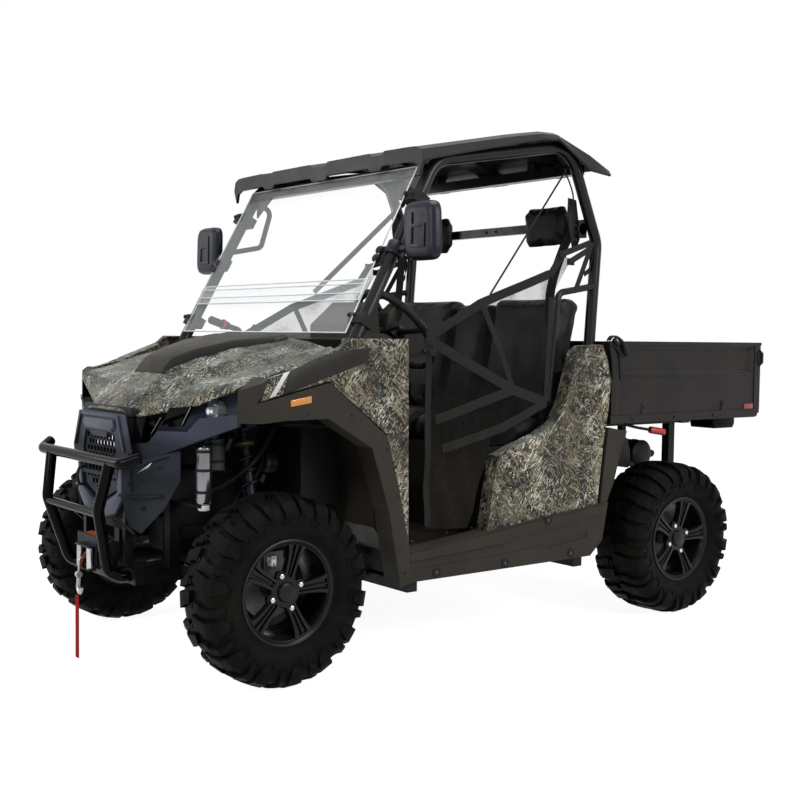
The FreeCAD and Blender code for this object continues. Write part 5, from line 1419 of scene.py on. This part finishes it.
def make_cover_details():
    """Painted highlight slivers, rods and screws of the nose, the tow loop, the grille's grey bars and the
    chin's paler plates of painted light.
    """
    bright = Kit("CoverInlays", "bright_metal")
    dark = Kit("NoseRods", "frame_black")
    for side in (1, -1):
        # Painted highlight: a thin bright sliver on each cover where the light catches its recess
        bright.plate(on_side(side, (232, -318, 676), (276, -282, 716), (268, -290, 700)), (0, -0.0025, 0))
        dark.tube(on_side(side, (168, -352, 600), (232, -330, 596), (300, -262, 604)), 0.0045, 10)
        dark.tube(on_side(side, (176, -372, 520), (200, -352, 505), (205, -310, 470)), 0.006, 10)
        for d, z in ((-330, 640), (-300, 560), (-262, 700)):
            dark.hex_bolt(mm(side * (190 + (d + 345) * 1.2), d - 6, z), (side * 0.6, -0.8, 0), 0.0055)
    loop = [mm(-112, -350, 672), mm(-112, -370, 668), mm(-112, -378, 640), mm(-112, -370, 612),
            mm(-112, -350, 608)]
    dark.tube(arc_between(loop, 5), 0.0048, 10)
    bright.done(bevel=0.0004, smooth=40)
    dark.done(smooth=45)
    bars = Kit("GrilleBars", "bottle_plastic")
    for side in (1, -1):
        bars.plate(on_side(side, (142, -351, 862), (151, -351, 862), (203, -351, 748), (195, -351, 748)),
                   (0, -0.0018, 0))
    bars.plate([mm(-137, -351, 857), mm(137, -351, 857), mm(136, -351, 863), mm(-136, -351, 863)],
               (0, -0.0018, 0))
    bars.plate([mm(-116, -350, 846), mm(116, -350, 846), mm(126, -350, 826), mm(99, -350, 811),
                mm(-99, -350, 811), mm(-126, -350, 826)], (0, -0.002, 0))
    bars.done(bevel=0.0006, smooth=30, finish="nose_grey")
    # Painted light: paler plates laid on the chin for its lit faces
    chin = Kit("ChinFaces", "bezel_plastic")
    for side in (1, -1):
        chin.plate(on_side(side, (177, -345.2, 698), (156, -345.2, 698), (143, -345.2, 602),
                           (20, -345.2, 547), (20, -345.2, 506), (127, -345.2, 534), (177, -345.2, 584)),
                   (0, -0.0025, 0))
    chin.done(bevel=0.0008, smooth=30, finish="nose_grey")


def make_bay_details():
    """Bands on canister and bottle, the bottle's cap, hoses, cables and dull castings of the front bay."""
    bands = Kit("BayBands", "rubber")
    for z in (618, 690, 752):
        bands.band(0.0262, 0.0275, 0.010, mm(400, -160, z), (0, 0, 1), 32)
    for z in (712, 770):
        bands.band(0.0382, 0.0396, 0.011, mm(345, -95, z), (0, 0, 1), 32)
    bands.lathe([(0.001, 0), (0.022, 0.001), (0.022, 0.016), (0.018, 0.020), (0.001, 0.021)],
                mm(345, -95, 806), (0, 0, 1), 24)
    for path, radius in (
        ([(345, -95, 826), (330, -40, 838), (280, 30, 800), (240, 90, 700)], 0.008),
        ([(400, -160, 780), (396, -130, 812), (360, -60, 826), (300, 20, 812)], 0.006),
        ([(250, 150, 760), (300, 120, 690), (310, 60, 600), (330, 20, 520)], 0.007),
        ([(310, 180, 840), (330, 120, 760), (340, 60, 700), (300, 0, 640), (250, -60, 600)], 0.009),
        ([(-345, -60, 820), (-300, 30, 800), (-250, 110, 690)], 0.009),
    ):
        bands.tube(arc_between([mm(*p) for p in path], 6), radius, 10)
    for side in (1, -1):
        bands.tube(arc_between(on_side(side, (250, 40, 560), (330, 30, 600), (430, 20, 520),
                                       (500, 24, 430)), 6), 0.0045, 8)
    bands.done(smooth=50)
    bits = Kit("BayBits", "cast_metal")
    for side in (1, -1):
        bits.lathe([(0.010, 0.0), (0.028, 0.002), (0.034, 0.010), (0.034, 0.088), (0.037, 0.090),
                    (0.037, 0.104), (0.033, 0.106), (0.026, 0.118), (0.010, 0.120)],
                   mm(side * 262, 150, 688), (0, 1, -0.05), 36)
        for x, d, z, r, h in ((268, 70, 640, 0.014, 0.040), (262, 0, 742, 0.014, 0.050),
                              (300, 120, 628, 0.010, 0.030)):
            bits.lathe([(r * 0.5, 0), (r, 0.002), (r, h * 0.4), (r * 0.8, h * 0.45), (r * 0.8, h * 0.9),
                        (r * 0.5, h)], mm(side * x, d, z), (0.4, 0.2, 0.9), 18)
    bits.done(bevel=0.0006, smooth=35, finish="dull_alloy")
    tip = Kit("CanisterTip", "bottle_plastic")
    tip.lathe([(0.012, -0.02), (0.019, -0.018), (0.019, -0.001), (0.012, 0.0)], mm(400, -160, 580),
              (0, 0, 1), 24)
    tip.done(bevel=0.0005, finish="white_film")


# Bed and rear

def make_bed_details():
    """Side brackets and rails, corner posts, reflectors, tailgate latches, straps and the red lever grip."""
    steel = Kit("BedBrackets", "bed_steel", "bed")
    dark = Kit("BedStraps", "rubber", "bed")
    red = Kit("BedReflectors", "lamp_red", "bed")
    for side in (1, -1):
        for low, high, top in ((1694, 1728, 884), (2210, 2252, 880)):
            steel.plate(on_side(side, (660, low, 824), (660, high, 824), (660, high - 8, top),
                                (660, low + 8, top)), (side * 0.0035, 0, 0))
            dark.block(*on_side(side, (655, low - 18, 826), (665.5, high + 4, 836)))
            steel.hex_bolt(mm(side * 663, (low + high) / 2, 866), (side, 0, 0), 0.006)
        steel.block(*on_side(side, (655, 1513, 838), (663, 1556, 1124)))
        steel.tube(on_side(side, (661.5, 1556, 1118), (661.5, 2440, 1119)), 0.0028, 8)
        steel.tube(on_side(side, (661.5, 1560, 992), (661.5, 2440, 992)), 0.0028, 8)
        for d in (1640, 1900, 2160):
            steel.hex_bolt(mm(side * 666, d, 820), (side, 0, 0), 0.006)
        red.block(*on_side(side, (660, 2376, 840), (664, 2440, 862)))
        dark.block(*on_side(side, (652, 2462, 1040), (668, 2486, 1088)))
        dark.tube(on_side(side, (664, 2478, 1096), (672, 2488, 1084), (672, 2488, 1044), (664, 2478, 1030)),
                  0.0055, 10)
    for shift in (0, 13):
        dark.tube(arc_between([mm(655, 1490 + shift, 1134), mm(664, 1500 + shift, 1150),
                               mm(668, 1530 + shift, 1146), mm(672, 1566 + shift, 1118),
                               mm(672, 1580 + shift, 1086), mm(666, 1560 + shift, 1076),
                               mm(668, 1535 + shift, 1100), mm(660, 1506 + shift, 1130)], 6), 0.0042, 8)
    dark.lathe([(0.003, 0), (0.011, 0.002), (0.011, 0.046), (0.006, 0.05)], mm(672, 1570, 1120),
               (0.1, 0.35, -1), 14)
    dark.lathe([(0.003, 0), (0.009, 0.002), (0.009, 0.034), (0.003, 0.036)], mm(668, 1512, 1140),
               (0.1, 0.6, -0.5), 14)
    for path in (((662, 1500, 1128), (665, 1512, 1060), (664, 1522, 982)),
                 ((668, 1552, 1100), (666, 1560, 1040), (664, 1567, 980))):
        dark.ribbon(arc_between([mm(*place) for place in path], 6), (0, 1, 0), 0.011, 0.0022)
    steel.done(bevel=0.0006, smooth=32)
    dark.done(smooth=45)
    red.done(bevel=0.0012, smooth=30)
    sleeve = Kit("LeverGrip", "lamp_red")
    start, stop = mm(641, 1786, 767.7), mm(656.6, 1838, 759)
    reach = (stop - start).length
    sleeve.lathe([(0.0125, -0.010), (0.0142, -0.008), (0.0146, 0.0), (0.0150, reach * 0.5), (0.0146, reach),
                  (0.0135, reach + 0.006), (0.008, reach + 0.010), (0.001, reach + 0.011)], start,
                 stop - start, 22)
    sleeve.done(smooth=50, finish="red_plastic")


def make_tail_lamps():
    """Black lamp housings with their red lenses to the rear."""
    shells = Kit("LampHousings", "trim_plastic", "bed")
    lenses = Kit("RearLenses", "lamp_red", "bed")
    for side in (1, -1):
        outline = [(2244, 818.5), (2398, 818.5), (2398, 770), (2386, 753), (2256, 753), (2244, 786)]
        shells.side_plate(side, 472, outline, 0.126)
        for d in (2270, 2300, 2340, 2372):
            shells.lathe([(0.0045, 0), (0.0045, 0.002), (0.0022, 0.0026)], mm(side * 598, d, 770),
                         (side, 0, 0), 14)
        lenses.block(*on_side(side, (482, 2398, 760), (588, 2402, 812)))
        for x in (500, 535, 570):
            lenses.lathe([(0.014, 0), (0.014, 0.002), (0.010, 0.0035), (0.001, 0.004)],
                         mm(side * x, 2401.5, 786), (0, 1, 0), 20)
    shells.done(bevel=0.004, smooth=30, finish="bumper_black", replaced=("tail_lamps",))
    lenses.done(bevel=0.0008, smooth=40)


def make_muffler():
    """Rolled muffler body with its bands and tail pipe, and the intake ducts ahead of the rear wheels."""
    kit = Kit("Muffler", "frame_black")
    kit.lathe([(0.020, 0.000), (0.050, 0.002), (0.058, 0.010), (0.061, 0.012), (0.061, 0.018),
               (0.0595, 0.020), (0.0595, 0.260), (0.061, 0.262), (0.061, 0.268), (0.058, 0.270),
               (0.048, 0.276), (0.020, 0.280)], mm(150, 1990, 640), (1, 0, 0), 36)
    for x in (205, 365):
        kit.band(0.0597, 0.0618, 0.018, mm(x, 1990, 640), (1, 0, 0), 36)
    pipe = [mm(300, 1990, 640), mm(300, 2060, 640), mm(300, 2130, 639), mm(300, 2196, 621)]
    kit.tube(arc_between(pipe, 6), 0.0165, 20)
    kit.done(smooth=40, finish="heat_black", replaced=("muffler",))
    duct = Kit("IntakeDuct", "rubber")
    for side in (1, -1):
        duct.side_plate(side, 520, ((1606, 768), (1660, 748), (1700, 732), (1710, 652), (1730, 622),
                                    (1700, 612), (1612, 624), (1600, 700)), 0.070)
        duct.tube(arc_between(on_side(side, (560, 1700, 728), (572, 1716, 690), (570, 1722, 640)), 5),
                  0.010, 10)
        duct.hex_bolt(mm(side * 590, 1650, 700), (side, 0, 0), 0.006)
    duct.done(bevel=0.003, smooth=35)


# Small things round the machine

def make_wheel_backs():
    """Splash discs behind the spokes of the front wheels."""
    for label, side in SIDES:
        kit = Kit("SplashDisc_" + label, "cast_metal", "knuckle_" + label)
        centre = Vector((side * 0.533, FRONT_AXLE, AXLE_HEIGHT))
        kit.lathe([(0.040, 0), (0.118, 0), (0.134, 0.006), (0.137, 0.006), (0.137, 0.0045), (0.120, -0.002),
                   (0.040, -0.002)], centre, (side, 0, 0), 48, closed=True)
        kit.done(smooth=35, finish="heat_black")


def make_skirts():
    """Side skirts under the floor and the upright ribs inside the front arches."""
    kit = Kit("FloorSkirts", "trim_plastic")
    for side in (1, -1):
        kit.side_plate(side, 402, ((470, 268), (660, 268), (660, 396), (470, 396)), 0.004)
        for d in (300, 372):
            back = (d - 300) * 0.2
            kit.block(*on_side(side, (470, 396 + back, 500), (476, 404 + back, 800)))
    kit.done(bevel=0.001, smooth=30, finish="heat_black")


def make_bolts():
    """Rocker bolts over dark cups, painted shade of their recesses; dark strips along the sill, painted shade
    of its grooves; arch screws and floor screws.
    """
    dark_screws_and_painted_shade = Kit("BoltCups", "rubber")
    heads = Kit("PanelBolts", "hook_steel")
    for side in (1, -1):
        for x, d, z in ((680.2, 608, 314), (680.2, 935, 312), (680.2, 1281, 314), (686.2, 1150, 453)):
            # Painted shade: a dark ring and disc under each bolt stand for its recess
            dark_screws_and_painted_shade.lathe([(0.0135, -0.001), (0.0135, 0.0014), (0.0175, 0.0022), (0.0175, -0.001)],
                       mm(side * x, d, z), (side, 0, 0), 26, closed=True)
            dark_screws_and_painted_shade.lathe([(0.0135, -0.001), (0.0135, 0.0007), (0.001, 0.0008)], mm(side * x, d, z),
                       (side, 0, 0), 26)
            heads.hex_bolt(mm(side * (x + 0.6), d, z), (side, 0, 0), 0.0048)
        # Painted shade: thin dark strips on the sill stand for its grooves
        for x, d0, z0, d1, z1, half in ((686.1, 488, 364, 922, 385, 2.2), (680.1, 520, 337, 934, 348, 1.1),
                                        (680.1, 934, 348, 1140, 361, 1.1)):
            dark_screws_and_painted_shade.side_plate(side, x, ((d0, z0 - half), (d1, z1 - half), (d1, z1 + half), (d0, z0 + half)),
                            0.0006)
        for x, radius, spots in (
            (688, 0.0055, ((462, 330), (425, 600), (380, 760), (230, 880), (60, 890))),
            (670, 0.0065, ((1345, 905), (1470, 1000), (1440, 1095), (1250, 540), (960, 700))),
        ):
            for d, z in spots:
                dark_screws_and_painted_shade.lathe([(radius, 0), (radius, 0.0016), (0.004, 0.0026), (0.001, 0.0028)],
                           mm(side * x, d, z), (side, 0, 0), 14)
        for d, z in ((560, 412), (720, 426), (840, 434)):
            heads.lathe([(0.006, 0), (0.006, 0.0014), (0.001, 0.003)], mm(side * 600, d, z + 6), sides=14)
    dark_screws_and_painted_shade.done(smooth=40)
    heads.done(smooth=35, finish="dull_alloy")


def make_cab_details():
    """Steering grip, spokes' hub, column switches, gauges, pedals, selector and the far hand lever."""
    hub = mm(330, 680, 1165)
    axis = Vector((0, math.cos(math.radians(40)), math.sin(math.radians(40))))
    where = turned(hub, axis)
    rubber = Kit("WheelGrip", "rubber")
    for cosine, sine in once_round(26):
        path = []
        for out, up in once_round(14):
            reach = 0.175 + 0.0148 * out
            path.append(where @ Vector((reach * cosine, reach * sine, 0.0148 * up)))
        rubber.tube(path, 0.0012, 5, closed=True)
    rubber.lathe([(0.044, -0.02), (0.048, 0.0), (0.044, 0.010), (0.030, 0.016), (0.001, 0.018)],
                 hub, axis, 32)
    rubber.done(smooth=45)
    trim = Kit("ColumnShroud", "trim_plastic")
    dark = Kit("CabControls", "bezel_plastic")
    bright = Kit("GaugeRings", "hook_steel")
    trim.plate([mm(296, 545, 1118), mm(364, 545, 1118), mm(360, 560, 1196), mm(300, 560, 1196)], axis * 0.075)
    trim.plate([mm(392, 552, 1172), mm(452, 552, 1172), mm(452, 560, 1226), mm(392, 560, 1226)], axis * 0.060)
    trim.plate([mm(372, 500, 1200), mm(420, 500, 1200), mm(420, 516, 1262), mm(372, 516, 1262)], axis * 0.040)
    for side in (1, -1):
        trim.tube([mm(330 + side * 30, 590, 1150), mm(330 + side * 74, 604, 1164),
                   mm(330 + side * 112, 618, 1176)], [0.006, 0.006, 0.009], 12)
    for x, size in ((290, 0.034), (372, 0.034)):
        dark.lathe([(size, 0.0), (size, 0.006), (size * 0.9, 0.008), (size * 0.9, 0.004), (0.001, 0.004)],
                   mm(x, 506, 1220), (0, 1, 0.25), 32)
        bright.lathe([(size, 0.006), (size + 0.002, 0.006), (size + 0.002, 0.010), (size, 0.010)],
                     mm(x, 506, 1220), (0, 1, 0.25), 32, closed=True)
    for k in range(5):
        dark.block(mm(-200 + k * 62, 566, 1040), mm(-158 + k * 62, 582, 1062))
    for x in (120, 160):
        dark.lathe([(0.012, 0), (0.012, 0.012), (0.010, 0.014), (0.001, 0.014)], mm(x, 572, 1010),
                   (0, 1, 0), 20)
    for x, wide in ((285, 60), (395, 44)):
        dark.plate([mm(x - wide / 2, 520, 520), mm(x + wide / 2, 520, 520), mm(x + wide / 2, 486, 600),
                    mm(x - wide / 2, 486, 600)], (0, 0.008, 0.003))
        dark.tube([mm(x, 492, 590), mm(x, 440, 700), mm(x, 425, 800)], 0.007, 10)
    dark.tube(arc_between([mm(110, 560, 930), mm(110, 640, 980), mm(110, 690, 1050)], 6), 0.008, 12)
    dark.lathe([(0.008, 0), (0.020, 0.006), (0.024, 0.028), (0.018, 0.046), (0.001, 0.052)],
               mm(110, 686, 1046), (0, 0.4, 0.9), 24)
    dark.tube(arc_between([mm(-575, 398, 1204), mm(-572, 430, 1192), mm(-570, 470, 1180),
                           mm(-566, 535, 1160)], 5), [0.010] + [0.017] * 8 + [0.018] * 3 + [0.012] * 4, 16)
    dark.tube([mm(-566, 535, 1160), mm(-560, 560, 1128), mm(-558, 540, 1110)], 0.011, 12)
    collar = Kit("LeverCollar", "lamp_red")
    collar.band(0.0185, 0.022, 0.010, mm(-570, 458, 1184), (0, 1, -0.32), 24)
    collar.done(smooth=40, finish="red_plastic")
    trim.done(bevel=0.004, smooth=32)
    dark.done(smooth=40, finish="heat_black")
    bright.done(smooth=40)


def make_belts():
    """Seat belts: plates and reels at the rear posts, webbing, and buckles on stalks and on the nets."""
    plates = Kit("BeltAnchors", "frame_black")
    webbing = Kit("SeatBelts", "red_webbing")
    buckles = Kit("BeltBuckles", "hook_steel")
    for side in (1, -1):
        plates.side_plate(side, 560, ((1352, 1690), (1396, 1684), (1412, 1600), (1420, 1530), (1402, 1494),
                                      (1378, 1500), (1362, 1560), (1350, 1640)), 0.004)
        for d, z in ((1372, 1668), (1378, 1640), (1386, 1612), (1392, 1584), (1396, 1556), (1396, 1526)):
            buckles.hex_bolt(mm(side * 564, d, z), (side, 0, 0), 0.0055)
        plates.block(*on_side(side, (548, 1398, 1538), (580, 1442, 1604)))
        plates.lathe([(0.022, 0), (0.026, 0.002), (0.026, 0.032), (0.022, 0.034)], mm(side * 546, 1420, 1572),
                     (side, 0, 0), 24)
        webbing.tube(arc_between(on_side(side, (568, 1318, 1800), (574, 1352, 1735), (576, 1366, 1688),
                                         (572, 1360, 1640)), 6), 0.0030, 8)
        webbing.ribbon(arc_between(on_side(side, (556, 1404, 1590), (520, 1376, 1500), (490, 1340, 1340),
                                           (500, 1330, 1200), (560, 1320, 1010)), 7), (1, 0.1, 0), 0.046,
                       0.0016)
        webbing.ribbon(arc_between(on_side(side, (586, 1440, 1512), (590, 1456, 1480), (592, 1452, 1420),
                                           (590, 1420, 1392)), 6), (0.2, 0, 1), 0.020, 0.0018)
        for x in (140, 250):
            plates.ribbon(on_side(side, (x, 1250, 842), (x, 1225, 868), (x, 1206, 896)), (1, 0, 0), 0.030,
                          0.004)
            buckles.block(mm(side * x - 15, 1196, 890), mm(side * x + 15, 1214, 936))
        for d, z in ((606, 1122), (598, 1092)):
            buckles.block(mm(side * 624 - 2, d - 17, z - 6), mm(side * 624 + 2, d + 17, z + 6))
    plates.done(bevel=0.0012, smooth=35)
    webbing.done(smooth=50, finish="webbing")
    buckles.done(bevel=0.0008, smooth=35, finish="heat_black")


def make_can():
    """Smooth silver canister with a rolled neck, replacing its plain cylinder."""
    kit = Kit("Canister", "bright_metal")
    kit.lathe([(0.010, 0.000), (0.020, 0.001), (0.0245, 0.005), (0.026, 0.012), (0.026, 0.186),
               (0.0245, 0.193), (0.019, 0.198), (0.012, 0.200)], mm(400, -160, 580), (0, 0, 1), 44)
    kit.done(smooth=45, finish="can_silver", replaced=("canister",))


# Hook strap

def make_strap():
    """Flat webbing that hangs from the winch hook, as a mesh ribbon on its own path."""
    low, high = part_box("hook_strap")
    x, y = (low.x + high.x) / 2, (low.y + high.y) / 2
    path = [Vector((x, y, high.z - (high.z - low.z) * k / 24)) for k in range(25)]
    kit = Kit("PullStrap", "red_webbing")
    kit.ribbon(path, (1, 0, 0), 0.026, 0.0022)
    strap = kit.done(replaced=("hook_strap",))


make_tyres()
make_wheels()
make_seats()
make_head_rests()
make_nets()
make_hood_panel()
make_stripes()
make_shocks()
make_brakes()
make_winch_gear()
make_strap()
make_mirrors()
make_windshield_trim()
make_lamp_pockets()
make_nose_backing()
make_cover_details()
make_bay_details()
make_bed_details()
make_tail_lamps()
make_muffler()
make_wheel_backs()
make_skirts()
make_bolts()
make_cab_details()
make_belts()
make_can()
